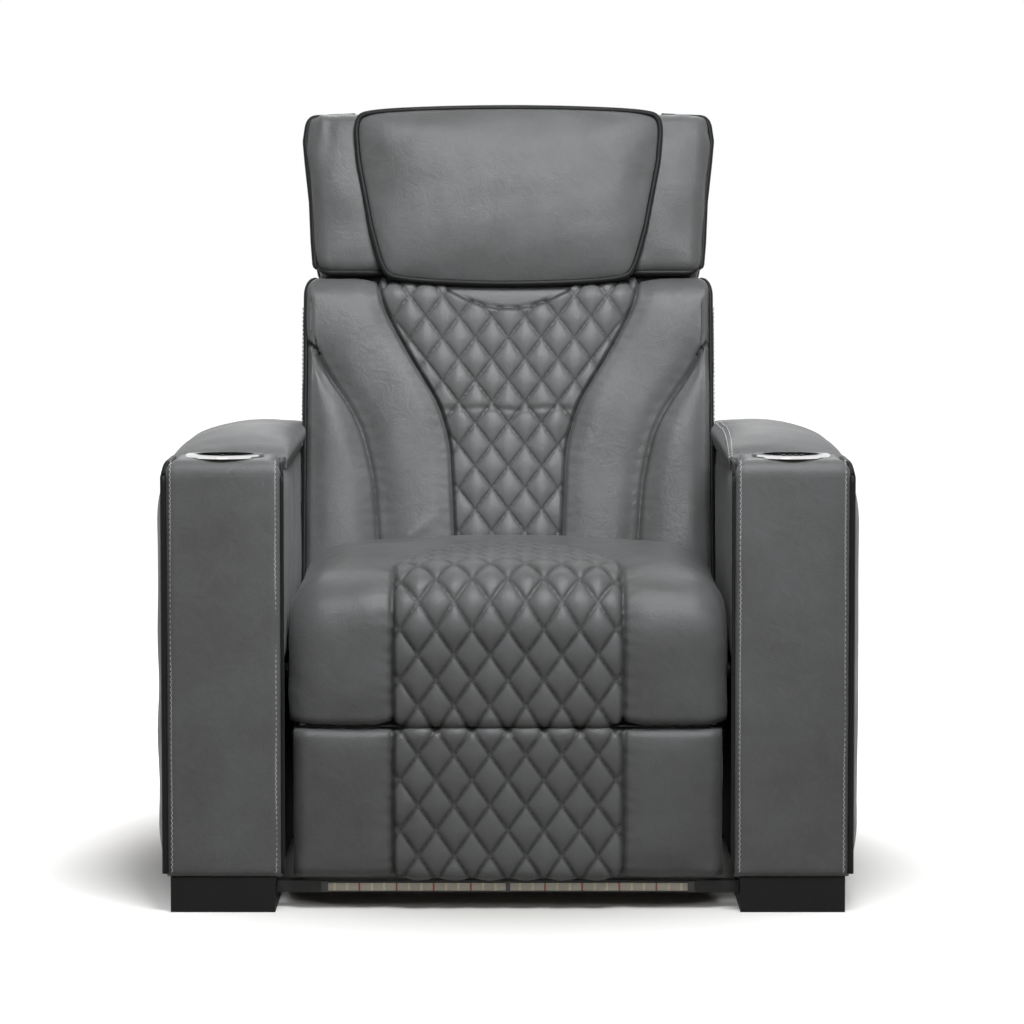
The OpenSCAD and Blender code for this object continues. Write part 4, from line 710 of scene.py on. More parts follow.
# %% Seat sewing
def sew_seat(seat):
    """Adds along the normals: diamonds inside the seam, a groove at the seam, puckers that fade
    away from it, and a little unevenness everywhere. The seam is straight in front and ends in an
    arch at the rear: off is how far a point lies outside it, from the level of an ellipse divided
    by its slope."""
    out = towards_front(seat)
    x, run = seat_x, seat_run[:, None] + 0 * seat_x
    u = np.clip(sx, -seat_seam, seat_seam)[None] / (seat_seam / FIELD_COLS) / CELL_POINTS + 0 * run
    v = (np.arange(len(seat_run))[:, None] - 12) / CELL_POINTS + 0 * x
    rear = np.clip(run - arch_run, 0, None) / arch_long
    level = np.hypot(x / seat_seam, rear)
    slope = np.hypot(x / seat_seam ** 2, rear / arch_long) / np.maximum(level, 1e-6)
    off = (level - 1) / np.maximum(slope, 1e-6)
    gap, inside = np.abs(off), unit(-off / 4)
    live = unit((run - 22) / 14) * unit((seat_run[-1] - run) / 20)
    face = unit((sh[None, :] - 0.3) / 0.3)
    seam = groove(gap, 3.0) * live
    lift = diamonds(u, v, 7.5) * inside * live
    lift = lift - 7.5 * seam - 5.0 * groove(gap, 20) * live
    pucker = np.sin(run / 3.1 + 2 * ripple(x, run, 60, 3)) * np.exp(-gap / 11) * (1 - inside)
    lift = lift + 0.9 * pucker * live + 1.3 * ripple(x, run, 120, 5) * (1 - inside) * face * live
    lip = groove(seat_run[:, None] - 38, 8) * (1 - inside)
    lift = lift + 1.2 * lip * np.sin(x / 4.6 + 3 * ripple(x, run, 70, 9)) * face
    # crease is painted shade along the seam and the quilting lines, and below 0 it makes the crown of
    # each diamond a little lighter.
    crease = unit(seam + 0.95 * quilt_lines(u, v) * inside * live)
    crease = crease - 0.12 * diamonds(u, v, 1.0) * inside * live
    return seat + lift[..., None] * out * face[..., None], np.stack([u, v], -1), crease, inside * live


seat, seat_uv, seat_crease, seat_field = sew_seat(seat)
seat_piece = pad("seat_leather", seat, seat_uv, {"crease": seat_crease, "quilted": seat_field},
                 hide_quilt)
on_body(seat_piece, "base", nodes=["seat_cushion"])

# %% [markdown]
# ## Footrest
# The footrest carries the same leather and the same diamonds, so at rest the quilting seems to run
# on from the seat. It is thinner, with tight rolls at its upper and lower edges.

# %% Footrest
def front_pad(path, base_d, half, roll, drop, cols_seam, step=3.4):
    """A flat upright pad: an outer path round the front and a straight base plane behind it."""
    outer, run = resample(path, step)
    base = np.stack([np.full(len(run), base_d), base_heights(outer[:, 1], run)], -1)
    inner = np.linspace(0, cols_seam, FIELD_COLS + 1)
    rest = np.linspace(cols_seam, half - roll, max(3, int((half - roll - cols_seam) / 4)))[1:]
    x, h = both_sides(*section(np.concatenate([inner, rest]), half, roll, drop, 8, 4))
    return ruled(x[None], h, base, outer), x, h, run


foot_front, foot_low, foot_high, foot_roll = 18.0, 43.3, 244.7, 13.0
bend_d = foot_front + foot_roll
foot_path = ([(57, foot_low), (bend_d, foot_low)]
             + arc((bend_d, foot_low + foot_roll), foot_roll, -90, -180)
             + [(foot_front, 90), (foot_front, 200)]
             + arc((bend_d, foot_high - foot_roll), foot_roll, 180, 90) + [(57, foot_high)])
foot, fx, fh, foot_run = front_pad(foot_path, 60, 288, 20, 0.42, seat_seam)
held = ((np.abs(fx) < seat_seam + 3)[None, :] | (fh < 0.25)[None, :]
        | (foot_run < 20)[:, None] | (foot_run > foot_run[-1] - 20)[:, None]).astype(float)
foot = swell(foot, held, pressure=5.0, cap=8.0, sideways=0.2)


def sew_pad(grid, run, x_flat, h, seam, puff, first, seed, ends=22, depth=7.0):
    """The same sewing as on the seat, for a pad whose seams run straight."""
    out = towards_front(grid)
    x, run = x_flat[None] + 0 * grid[..., 0], run[:, None] + 0 * grid[..., 0]
    u = np.clip(x_flat, -seam, seam)[None] / (seam / FIELD_COLS) / CELL_POINTS + 0 * run
    v = (np.arange(len(run))[:, None] - first) / CELL_POINTS + 0 * x
    live = unit((run - ends) / 12) * unit((run[-1, 0] - ends - run) / 12)
    inside = unit((seam - np.abs(x)) / 4)
    gap = np.abs(np.abs(x) - seam)
    face = unit((h[None, :] - 0.3) / 0.3)
    sewn = groove(gap, 3.0) * live
    lift = diamonds(u, v, puff) * inside * live - depth * sewn - 3.5 * groove(gap, 18) * live
    pucker = np.sin(run / 3.3 + 2 * ripple(x, run, 60, seed)) * np.exp(-gap / 10) * (1 - inside)
    lift = lift + (0.8 * pucker + 0.9 * ripple(x, run, 110, seed + 1) * (1 - inside)) * live
    # crease is painted shade along the seam and the quilting lines, and below 0 it makes the crown of
    # each diamond a little lighter.
    crease = unit(sewn + 0.95 * quilt_lines(u, v) * inside * live)
    crease = crease - 0.12 * diamonds(u, v, 1.0) * inside * live
    return (grid + lift[..., None] * out * face[..., None], np.stack([u, v], -1), crease,
            inside * live)


foot, foot_uv, foot_crease, foot_field = sew_pad(foot, foot_run, fx, fh, seat_seam, 7.0, 9, 21)
foot_piece = pad("footrest_leather", foot, foot_uv, {"crease": foot_crease, "quilted": foot_field},
                 hide_quilt)
on_body(foot_piece, "footrest", nodes=["footrest_cushion"])

# %% [markdown]
# ## Back cushion
# The back is sewn from five panels: an hourglass of quilting, a plain panel to each side of it, and
# outer bolsters whose seams curve from the edge inwards. The grid's columns follow these seams,
# so each seam is a line of points. Seam positions are read off the photograph at a few heights
# and joined smoothly.

# %% Back cushion
back_front, back_low, back_top, low_roll, top_roll = -72.0, 34.5, 527.0, 12.0, 38.0
back_path = ([(-9, back_low), (back_front + low_roll, back_low)]
             + arc((back_front + low_roll, back_low + low_roll), low_roll, 270, 180)
             + [(back_front, 150), (back_front, back_top - top_roll)]
             + arc((back_front + top_roll, back_top - top_roll), top_roll, 180, 90, 14)
             + [(-9, back_top)])
back_outer, back_run = resample(back_path, 2.3)
back_z = back_outer[:, 1]


def smooth_seam(heights, places, at):
    """Straight lines between the read-off points, then rounded by repeated averaging."""
    return blurred(np.interp(at, heights, places), 90)


waist = smooth_seam([34, 133, 273, 333, 407, 473, 507, 530], [78, 78, 84, 101, 146, 181, 191, 192],
                    back_z)
bolster = smooth_seam([34, 118, 220, 290, 330, 370, 400, 425, 530],
                      [184, 187, 195, 211, 230, 258, 279, 285, 285], back_z)
corner = unit((back_z - back_top + 22) / 22)
BACK_HALF, BACK_ROLL = 295.0, 6.0
back_half = BACK_HALF - 20 * (1 - np.sqrt(1 - corner ** 2))
share = np.concatenate([np.linspace(0, 1, 92), 1 + np.linspace(0, 1, 36)[1:],
                        2 + np.linspace(0, 1, 26)[1:]])
top_x = np.where(share[None] <= 1, waist[:, None] * share[None], np.where(
    share[None] <= 2, waist[:, None] + (share[None] - 1) * (bolster - waist)[:, None],
    bolster[:, None] + (share[None] - 2) * (BACK_HALF - BACK_ROLL - bolster)[:, None]))
fall = np.linspace(0, np.pi / 2, 9)[1:]
edge_x = BACK_HALF - BACK_ROLL + BACK_ROLL * np.sin(fall)
side_h = np.linspace(0.86, 0, 7)[1:]
right_x = np.concatenate([top_x, np.broadcast_to(edge_x, (len(back_run), 8)),
                          np.full((len(back_run), 6), BACK_HALF)], 1)
right_h = np.concatenate([np.ones(len(share)), 1 - 0.14 * (1 - np.cos(fall)), side_h])
bx = np.concatenate([-right_x[:, :0:-1], right_x], 1) * (back_half / BACK_HALF)[:, None]
bh = np.concatenate([right_h[:0:-1], right_h])
back_base = np.stack([np.full(len(back_run), -5.5), base_heights(back_z, back_run)], -1)
back = ruled(bx, bh, back_base, back_outer)
reach = np.abs(bx)
near_bolster = np.abs(reach - bolster[:, None])
held = ((reach < waist[:, None] + 2) | ((near_bolster < 4) & (back_z < 415)[:, None])
        | (bh < 0.9)[None, :] | (back_run < 24)[:, None]
        | (back_run > back_run[-1] - 16)[:, None]).astype(float)
back = swell(back, held, pressure=7.0, cap=16.0, every=5, sideways=0.3)


def sew_back(grid):
    """Diamonds in the hourglass, grooves along its two seams and the bolster seams, a plain
    crescent sewn off under the pillow, a long crease across the quilting and pulls at the seams.
    A short slanting tail carries each bolster seam from its top out to the edge."""
    out = towards_front(grid)
    x, z = bx, back_z[:, None] + 0 * bx
    run = back_run[:, None] + 0 * x
    live = unit((run - 30) / 14) * unit((back_run[-1] - 12 - run) / 14)
    u, v = x / CELL_W, (z - 44) / BACK_CELL_H
    inside = unit((waist[:, None] - np.abs(x)) / 4)
    arch = 474 + 26 * (x / 86) ** 2
    plain = unit((z - arch) / 4)
    quilted = inside * live * (1 - plain)
    gap_w, gap_b = np.abs(np.abs(x) - waist[:, None]), np.abs(np.abs(x) - bolster[:, None])
    on_arch = groove(z - arch, 3.0) * (np.abs(x) < 90)
    seen = live * unit((bh[None, :] - 0.8) / 0.1)
    seam_top, climb = 411, 0.76
    bolster_live = unit((seam_top + 2 - z) / 6)
    turn_in = float(np.interp(seam_top, back_z, bolster))
    tail = groove((z - seam_top - climb * (np.abs(x) - turn_in)) / 1.26, 2.8) * (np.abs(x) > turn_in)
    seams = np.maximum(groove(gap_w, 2.8), np.maximum(groove(gap_b, 2.8) * bolster_live,
                                                       np.maximum(on_arch, tail)))
    lift = diamonds(u, v, 7.0) * quilted - 6.0 * seams * seen
    fading = smooth_step((450 - z) / 80)
    lift -= (4.5 * groove(gap_w, 20) + 7.0 * groove(gap_b, 26) * fading) * seen
    outside = (1 - inside) * seen
    pulls = (np.sin(z / 3.4 + 2.2 * ripple(x, z, 60, 31)) * bolster_live
             * np.exp(-gap_b / 9) * (1 - groove(gap_b, 6))
             + np.sin(z / 3.0 + 2 * ripple(x, z, 50, 33)) * np.exp(-gap_w / 9)
             * (1 - groove(gap_w, 6)))
    lift += 0.8 * pulls * outside + 1.8 * ripple(x, z, 130, 35) * outside
    lift -= 1.8 * groove(z - 322 - 3 * ripple(x, z, 90, 37), 4.5) * quilted
    along, across = (x + 152) * 0.78 + (z - 128) * 0.62, (z - 128) * 0.78 - (x + 152) * 0.62
    lift += 3.2 * groove(across, 10) * groove(along, 42) * (x < 0) * outside
    low = groove(z - 60, 26) * outside
    lift += 1.5 * low * np.sin(x / 7 + 3 * ripple(x, z, 80, 39))
    # crease is painted shade along the seams and the quilting lines, and below 0 it makes the crown of
    # each diamond a little lighter.
    crease = unit(seams * seen + 0.95 * quilt_lines(u, v) * quilted)
    crease = crease - 0.12 * diamonds(u, v, 1.0) * quilted
    return grid + (lift * seen)[..., None] * out, np.stack([u, v], -1), crease, quilted


back, back_uv, back_crease, back_field = sew_back(back)
back_piece = pad("back_leather", lean(back), back_uv,
                 {"crease": back_crease, "quilted": back_field}, hide_quilt)
on_body(back_piece, "back", nodes=["back_cushion"])
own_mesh(back_piece)

# %% [markdown]
# ## Sides and rear of the back
# Upholstery leather is stretched over the back's frame: a band down each side and a full panel
# behind, both slightly crowned by a thin layer of foam.

# %% Back shell
def crowded(count):
    """Shares from 0 to 1 that stand closer together towards both ends."""
    c = np.cos(np.pi * np.linspace(0, 1, count))
    return 0.5 - 0.5 * c * (0.25 + 0.75 * np.abs(c))


def sheet_pad(corner, along, up, out, thick, bulge, m=40, n=40, edge=0.12, seed=1, wave=0.8):
    """A padded panel: corner + s along + t up, raised by thick + bulge * f(s) f(t), where f rises
    quickly from the edges to 1. The base is the flat panel itself."""
    s, t = crowded(m), crowded(n)
    corner, along, up, out = (np.asarray(v, float) for v in (corner, along, up, out))
    flat = corner + s[:, None, None] * along + t[None, :, None] * up
    rise = [np.sqrt(unit(1 - unit(1 - np.minimum(q, 1 - q) / edge) ** 2)) for q in (s, t)]
    lift = rise[0][:, None] * rise[1][None, :]
    size = np.linalg.norm(along), np.linalg.norm(up)
    lump = wave * ripple(s[:, None] * size[0], t[None, :] * size[1], 150, seed) * lift
    top = flat + (thick * (0.35 + 0.65 * lift) + bulge * lift + lump)[..., None] * out
    return np.concatenate([flat[:, :1], top, flat[:, -1:]], 1)


rear = sheet_pad((-301, 66.5, 18), (602, 0, 0), (0, 0, 496), (0, 1, 0), 12, 22, 60, 60, 0.1, 41)
on_body(pad("back_rear_leather", lean(rear), material=hide_main), "back",
        nodes=["back_rear_cover"])
for s, side in ((-1, "left"), (1, "right")):
    band = sheet_pad((s * 296.4, -56, back_low), (0, 121.5, 0), (0, 0, 481), (s, 0, 0), 3.0, 3.0,
                     24, 60, 0.12, 43 + s)
    piece = pad("back_side_leather_" + side, lean(band), material=hide_main)
    on_body(piece, "back", nodes=["back_side_covers"] if s < 0 else [])
    line = [(s * 297.5, -59, z) for z in np.linspace(40, 492, 60)]
    line += [(s * (283 + 14.5 * math.cos(a)), -59 + 38 * (1 - math.cos(a)) * 0.7,
              494 + 31 * math.sin(a)) for a in np.linspace(0.1, 1.5, 14)]
    on_body(tube("back_piping_" + side, lean(line), BACK_CORD, material=hide_black), "back")
    rows = [[(s * 303.0, y, z) for z in (60, 480)] for y in (-44, -40)]
    for number, two in enumerate(rows):
        on_body(stitches("back_stitches_%s_%d" % (side, number), lean(two), (s, 0, 0), 6.4, 4.4,
                         0.6, material=thread_light), "back")

# %% [markdown]
# ## Headrest
# Behind the pillow stand two wings in one piece, edged with black piping. The pillow is a rounded
# trapezoid: a square grid of points stretched to its outline, so that its rows follow the bowed
# edges. It is full over most of its face, falls off steeply near the rim and rolls under at its
# foot, and its own piping lies along the rim.

# %% Headrest wings
HEAD_LOW, HEAD_H, HEAD_HALF = 532.0, 245.0, 288
head_t = [-0.1, 0, 0.06, 0.2, 0.45, 0.7, 0.83, 0.95, 1.1]
head_x = [274, 279, 285, 288, 291, 298, 301, 297, 289]


def head_half(t):
    """Half width of the headrest at a share of its height: a slight waist, then flaring wings."""
    return np.interp(t, head_t, head_x)


def wings():
    """Rows run round from the lower rear edge over the face to the upper rear edge."""
    low = HEAD_LOW - 1
    path = ([(-7, low), (-40, low)] + arc((-44, low + 20), 20, 270, 180, 12)
            + [(-66, low + 60), (-70, low + 130), (-66, low + 205)]
            + arc((-44, HEAD_LOW + HEAD_H - 22), 20, 180, 90, 12) + [(-7, HEAD_LOW + HEAD_H - 2)])
    outer, run = resample(path, 4)
    base = np.stack([np.full(len(run), -2.6), base_heights(outer[:, 1], run)], -1)
    x, h = both_sides(*section(np.linspace(0, 268, 80), HEAD_HALF, 20, 0.35, 10, 5))
    t = (outer[:, 1] - HEAD_LOW) / HEAD_H
    wide = eased(head_half(t), 12)[:, None] / HEAD_HALF * x[None]
    grid = ruled(wide, h, base, outer)
    held = ((h < 0.6)[None, :] | (run < 34)[:, None] | (run > run[-1] - 34)[:, None]
            | (np.abs(wide) < 196)).astype(float)
    return grid, run, h, held


wing, wing_run, wing_h, wing_held = wings()
wing = swell(wing, wing_held, pressure=8.0, cap=9.0, sideways=0.4)
x, z = wing[..., 0], wing[..., 2]
reach = np.abs(x)
lump = 1.3 * ripple(x, z, 90, 51) + 1.6 * np.sin(
    (reach * 0.9 + z * 0.5) / 6.5 + 2 * ripple(x, z, 70, 53)) * groove(
        np.hypot(reach - 290, z - HEAD_LOW - 235), 42)
lump = lump * unit((wing_h - 0.3) / 0.4)[None]
lump *= (unit(wing_run / 30) * unit((wing_run[-1] - wing_run) / 30))[:, None]
wing_piece = pad("headrest_wing_leather", lean(wing + lump[..., None] * towards_front(wing)),
                 material=hide_main)
on_body(wing_piece, "headrest", nodes=["headrest_wings"])

# %% Headrest rear
shell_path = ([(3, HEAD_LOW + 1), (34, HEAD_LOW + 2)] + arc((34, HEAD_LOW + 24), 22, -90, 0, 10)
              + [(62, HEAD_LOW + 110), (56, HEAD_LOW + 190)]
              + arc((24, HEAD_LOW + HEAD_H - 28), 27, 20, 90, 10) + [(3, HEAD_LOW + HEAD_H - 1)])
outer, run = resample(shell_path, 6)
base = np.stack([np.full(len(run), -1.8), outer[:, 1]], -1)
x, h = both_sides(*section(np.linspace(0, 254, 40), HEAD_HALF, 34, 0.5, 10, 5))
wide = head_half((outer[:, 1] - HEAD_LOW) / HEAD_H)[:, None] / HEAD_HALF * x[None]
shell = ruled(wide, h, base, outer)
on_body(pad("headrest_rear_leather", lean(shell), material=hide_main), "headrest",
        nodes=["headrest_rear_cover"])


# %% Headrest piping and pillow
def close_even(outline, step):
    """A closed outline with evenly spaced points."""
    even, _ = resample(np.concatenate([outline, outline[:1]]), step)
    return even[:-1]


CORNER = 0.922
corner_z = HEAD_LOW + HEAD_H * CORNER
t = np.linspace(CORNER, 0.0, 60)
side_line = np.stack([head_half(t) + 0.6, -38 + 0 * t, HEAD_LOW + HEAD_H * t], -1)
turn_a = np.linspace(0.2, np.pi / 2, 8)
bend = np.stack([262 + 17 * np.cos(turn_a), -38 - 12 * np.sin(turn_a),
                 HEAD_LOW + 14 - 14 * np.sin(turn_a)], -1)
under = np.stack([np.linspace(250, 0, 30), np.full(30, -50.0), np.full(30, HEAD_LOW + 0.0)], -1)
turn_b = np.linspace(0, np.pi / 2, 8)[:-1]
over = np.stack([head_half(CORNER) - 15 + 15 * np.sin(turn_b), -34 - 4 * np.sin(turn_b),
                 corner_z + 15 * np.cos(turn_b)], -1)
top_run = np.stack([np.linspace(228, head_half(CORNER) - 18, 12), np.linspace(-43, -34, 12),
                    np.full(12, corner_z + 15.0)], -1)
half_line = np.concatenate([top_run, over, side_line[:-3], bend, under])
whole = np.concatenate([half_line, half_line[-2::-1] * [-1, 1, 1]])
whole = resample(whole, 3)[0]
on_body(tube("headrest_piping", lean(whole + [0, -4, 0]), CORD, material=hide_black), "headrest")


def pillow_place(u, v):
    """Where a point of the unit square lies on the pillow: x is u times the half width at that
    height, z runs from a bowed lower to a bowed upper edge, and the high powers round the corners."""
    u, v = np.broadcast_arrays(u, v)
    across, up = u * (1 - 0.04 * np.abs(v) ** 12), v * (1 - 0.03 * np.abs(u) ** 12)
    low, high = 511 + 9 * across ** 2, 777 - 8 * across ** 2
    share = (up + 1) / 2
    half = np.interp(share, [0, 0.3, 0.7, 1], [181, 201, 220, 227])
    return across * half, low + share * (high - low)


pv = np.sin(np.linspace(-np.pi / 2, np.pi / 2, 110))
pu = np.sin(np.linspace(-np.pi / 2, np.pi / 2, 150))
px, pz = pillow_place(pu[None], pv[:, None])
upright = np.sqrt(unit(1 - np.abs(pv) ** np.where(pv < 0, 2.8, 7)))
level = np.sqrt(unit(1 - np.abs(pu) ** 7))
full = upright[:, None] * level[None]
front = np.stack([px, -69.5 - 29.5 * full, pz], -1)
held = ((np.abs(pu) > 0.97)[None] | (np.abs(pv) > 0.96)[:, None]).astype(float)
front = swell(front, held, pressure=5.0, cap=9.0, every=5, sideways=0.2)
edge = np.maximum(np.abs(pu)[None], np.abs(pv)[:, None])
gathers = np.exp(-(1 - edge) / 0.045) * np.sin((px + pz) / 5.2 + 2 * ripple(px, pz, 80, 63))
soft = 1.2 * ripple(px, pz, 150, 61) + 0.6 * ripple(px, pz, 60, 65) + 0.7 * gathers
front[..., 1] -= soft * full
pillow_piece = pad("headrest_pillow_leather", lean(front), material=hide_main)
on_body(pillow_piece, "headrest", nodes=["headrest_pillow"])

way = np.linspace(-1, 1, 60)
rim_x, rim_z = pillow_place(np.concatenate([way, 0 * way[1:] + 1, -way[1:], 0 * way[1:-1] - 1]),
                            np.concatenate([0 * way - 1, way[1:], 0 * way[1:] + 1, -way[1:-1]]))
rim = close_even(np.stack([rim_x, rim_z], -1), 4)
for _ in range(3):
    rim = (np.roll(rim, 1, 0) + 2 * rim + np.roll(rim, -1, 0)) / 4
cord = np.stack([rim[:, 0] * 1.004, np.full(len(rim), -76.0), 650 + (rim[:, 1] - 650) * 1.004], -1)
on_body(tube("pillow_piping", lean(cord), CORD, closed=True, material=hide_black), "headrest")

# %% [markdown]
# ## Arms
# The front of an arm is one long panel of leather over thin foam. At the top it rolls over and
# runs back to the lid, and there the cup holder is let into it, through a hole cut by a boolean.
# A zigzag of light thread runs down both edges, and black piping closes both, thick on the
# outside and thin on the inside. A padded panel covers each side, and the lid and the arm top
# behind it share one dome-shaped cross-section.

# %% Arm fronts
def cut_round(thing, x, d, radius, low, high):
    """Cuts an upright round hole through a piece with a boolean, then applies it."""
    turn = np.linspace(0, 2 * np.pi, 64, endpoint=False)
    ring = np.stack([x + radius * np.cos(turn), d + radius * np.sin(turn)], -1)
    points = np.concatenate([np.column_stack([ring, np.full(64, z)]) for z in (low, high)]
                            + [[[x, d, low], [x, d, high]]])
    punch = make("punch", points, grid_quads(2, 64, cols_closed=True), end_fans(2, 64, 128, 129))
    cut = thing.modifiers.new("hole", "BOOLEAN")
    cut.object, cut.solver = punch, "EXACT"
    done = bpy.data.meshes.new_from_object(
        thing.evaluated_get(bpy.context.evaluated_depsgraph_get()))
    thing.modifiers.clear()
    thing.data = done
    bpy.data.objects.remove(punch)


def zigzag(path, width, pitch):
    """Points that step from side to side of a path in x, half a pitch apart."""
    spots, _ = resample(path, pitch / 2)
    spots[::2, 0] -= width / 2
    spots[1::2, 0] += width / 2
    return spots


roll_z = ARM_TOP - ARM_ROLL
for s, side in ((-1, "left"), (1, "right")):
    path = ([(16, ARM_LOW), (8, ARM_LOW)] + arc((8, ARM_LOW + 8), 8, 270, 180, 6)
            + [(0, 200), (0, roll_z)] + arc((ARM_ROLL, roll_z), ARM_ROLL, 180, 90, 14)
            + [(60, ARM_TOP), (116.8, ARM_TOP)])
    outer, run = resample(path, 7)
    base = np.stack([np.maximum(outer[:, 0], 17.9), np.minimum(outer[:, 1], RIM + 0.4)], -1)
    x, h = both_sides(*section(np.linspace(0, 64, 24), 77.4, 13.4, 0.62, 9, 4))
    t = unit((outer[:, 1] - 588) / 19)
    narrow = 1 - 0.10 * (1 - np.sqrt(1 - t ** 2))
    grid = ruled(s * ARM_MID + x[None, :] * narrow[:, None], h, base, outer)
    sag = 0.8 * ripple(x[None] + 90 * s, run[:, None], 160, 71 + s) * unit(run / 40)[:, None]
    grid[..., 1] -= sag * unit((h - 0.6) / 0.3) * unit((520 - run) / 60)[:, None]
    cover = pad("arm_front_leather_" + side, grid, material=hide_arm)
    cut_round(cover, s * ARM_MID, 59, 41.2, 560, 640)
    on_body(cover, "base", nodes=["arm_front_cover_" + side])
    top = arc((ARM_ROLL, roll_z), 18.0, 180, 90, 12)
    for edge, name, thick in ((ARM_MID + 79.0, "outer", CORD), (ARM_MID - 78.6, "inner", THIN_CORD)):
        inwards = 6 if name == "outer" else -2
        line = [(s * edge, 6, z) for z in np.linspace(52, 583, 60)]
        line += [(s * (edge - inwards * k / 11), d + 6, z - 2) for k, (d, z) in enumerate(top)]
        line += [(s * (edge - inwards), d, 601) for d in np.linspace(32, 117, 12)]
        on_body(tube("arm_piping_%s_%s" % (name, side), line, thick, material=hide_black), "base")
    for number, shift in enumerate((69.6, -69.4)):
        line = [(s * (ARM_MID + shift), 1.1, z) for z in (54, 584)]
        line += [(s * (ARM_MID + shift), ARM_ROLL - 20.6 * math.cos(a), roll_z + 20.6 * math.sin(a))
                 for a in np.linspace(0.06, 1.3, 12)]
        on_body(stitches("arm_stitches_%s_%d" % (side, number), zigzag(line, 2.6, 7.0), (0, -1, 0.3),
                         None, 4.6, 0.62, thread_light), "base")

# %% Arm sides and tops
outside_x, inside_x, side_d, inside_z, inside_high = 448.4, 305.7, 18.6, 331.5, 255
for s, side in ((-1, "left"), (1, "right")):
    panel = sheet_pad((s * outside_x, side_d, ARM_LOW), (0, 811, 0), (0, 0, 536.5), (s, 0, 0),
                      11, 14.5, 70, 60, 0.13, 81 + s, 1.2)
    on_body(pad("arm_outer_leather_" + side, panel, material=hide_arm), "base",
            nodes=["arm_outer_panels"] if s < 0 else [])
    inner = sheet_pad((s * inside_x, side_d, inside_z), (0, 540, 0), (0, 0, inside_high),
                      (-s, 0, 0), 5, 2.3, 60, 30, 0.1, 83 + s)
    on_body(pad("arm_inner_leather_" + side, inner, material=hide_arm), "base",
            nodes=["arm_inner_panels"] if s < 0 else [])
    thin = sheet_pad((s * inside_x, 559, inside_z), (0, 262, 0), (0, 0, inside_high),
                     (-s, 0, 0), 1.8, 0.2, 30, 20, 0.1, 85 + s, 0.0)
    on_body(pad("arm_inner_rear_leather_" + side, thin, material=hide_arm), "base")


dome_x = [299.6, 296, 292.5, 290, 289.5, 291.5, 297, 306, 320, 335, 350, 371, 390, 408, 425, 438, 447,
          453.5, 457.5, 458.6, 458.6]
dome_z = [0, 8, 16, 24, 31, 37.5, 42.5, 46.5, 49.5, 51, 51.4, 50.4, 47.5, 43, 37, 31, 25.5, 20, 14, 8, 0]


def domed_top(d0, d1, low, high, ends, seed, flank=1.0, m=70):
    """A padded arm top. The cross-section is a dome read off the photograph, higher on the side of
    the seat and swelling over it. Along the depth its part above the board is scaled by ends."""
    v = 0.5 - 0.5 * np.cos(np.pi * np.linspace(0, 1, m))
    d = d0 + (d1 - d0) * v
    size = np.interp(v, [0, 0.01, 0.04, 0.1, 0.22, 0.4, 0.88, 0.96, 0.99, 1], ends)
    size = eased(size, 3)
    even = eased(resample(np.stack([dome_x, dome_z], -1), 3.2)[0], 2)
    x = even[:, 0]
    x = np.where(x < 299.6, 299.6 + (x - 299.6) * flank * unit(size)[:, None], x[None])
    z = even[None, :, 1] * high / 51.4
    z = np.minimum(z, 9) + np.maximum(z - 9, 0) * size[:, None]
    lump = 1.0 * ripple(x, d[:, None], 110, seed) * unit((z - 14) / 20)
    band = 0.7 * np.sin(d[:, None] / 9 + 1.5 * ripple(x, d[:, None], 90, seed + 1)) * groove(
        d[:, None] - d0, 60) * unit((z - 14) / 20)
    return np.stack([x, np.broadcast_to(d[:, None], x.shape), low + z + lump + band], -1)


for s, side in ((-1, "left"), (1, "right")):
    lid = domed_top(119.5, 554.8, 587.5, 51.0, [0.12, 0.3, 0.52, 0.78, 0.96, 1, 0.88, 0.68, 0.42, 0.22],
                    93 + s)
    ridge = int(np.argmin(np.abs(lid[40, :, 0] - 300) + (lid[40, :, 2] < 620) * 99))
    # A known fault: these rows share their numbers with lid, so the next line turns them too, and
    # the left lid's stitches end up on the right lid.
    rows = [lid[2:66, ridge + k] for k in (-1, 1)]
    lid[..., 0] *= s
    on_body(pad("lid_leather_" + side, lid, material=hide_arm), "lid_" + side,
            nodes=["arm_lid_" + side])
    for number, two in enumerate(rows):
        on_body(stitches("lid_stitches_%s_%d" % (side, number), two * [s, 1, 1] + [0, 0, 0.6],
                         (0, 0, 1), 5.6, 4.2, 0.6, thread_light), "lid_" + side)
    top = domed_top(563.2, 829.5, 587.5, 33.0, [0.3, 0.5, 0.72, 0.92, 1, 1, 0.8, 0.6, 0.4, 0.2],
                    95 + s, flank=0.0)
    top[..., 0] = 300 + (top[..., 0] - 299.6)
    top[..., 0] *= s
    on_body(pad("arm_rear_leather_" + side, top, material=hide_arm), "base",
            nodes=["arm_rear_tops"] if s < 0 else [])

panel = sheet_pad((-305.4, 777.5, 55.5), (610.8, 0, 0), (0, 0, 229), (0, 1, 0), 1.0, 2.0, 50, 30,
                  0.08, 99, 0.6)
panel[:, 0, 1] = panel[:, -1, 1] = 762.5
on_body(pad("rear_panel_leather", panel, material=hide_main), "base", nodes=["rear_panel"])

# %% [markdown]
# ## Webbing
# Under the cushions the frames are strung with woven straps, which give a little. Each is a thin
# strip with a slight sag. The seat has five along its depth, and three short ones on each side
# tie the outer two to the frame. The back has four across.

# %% Webbing
STRAP_WIDE, STRAP_STEP = 50, 85


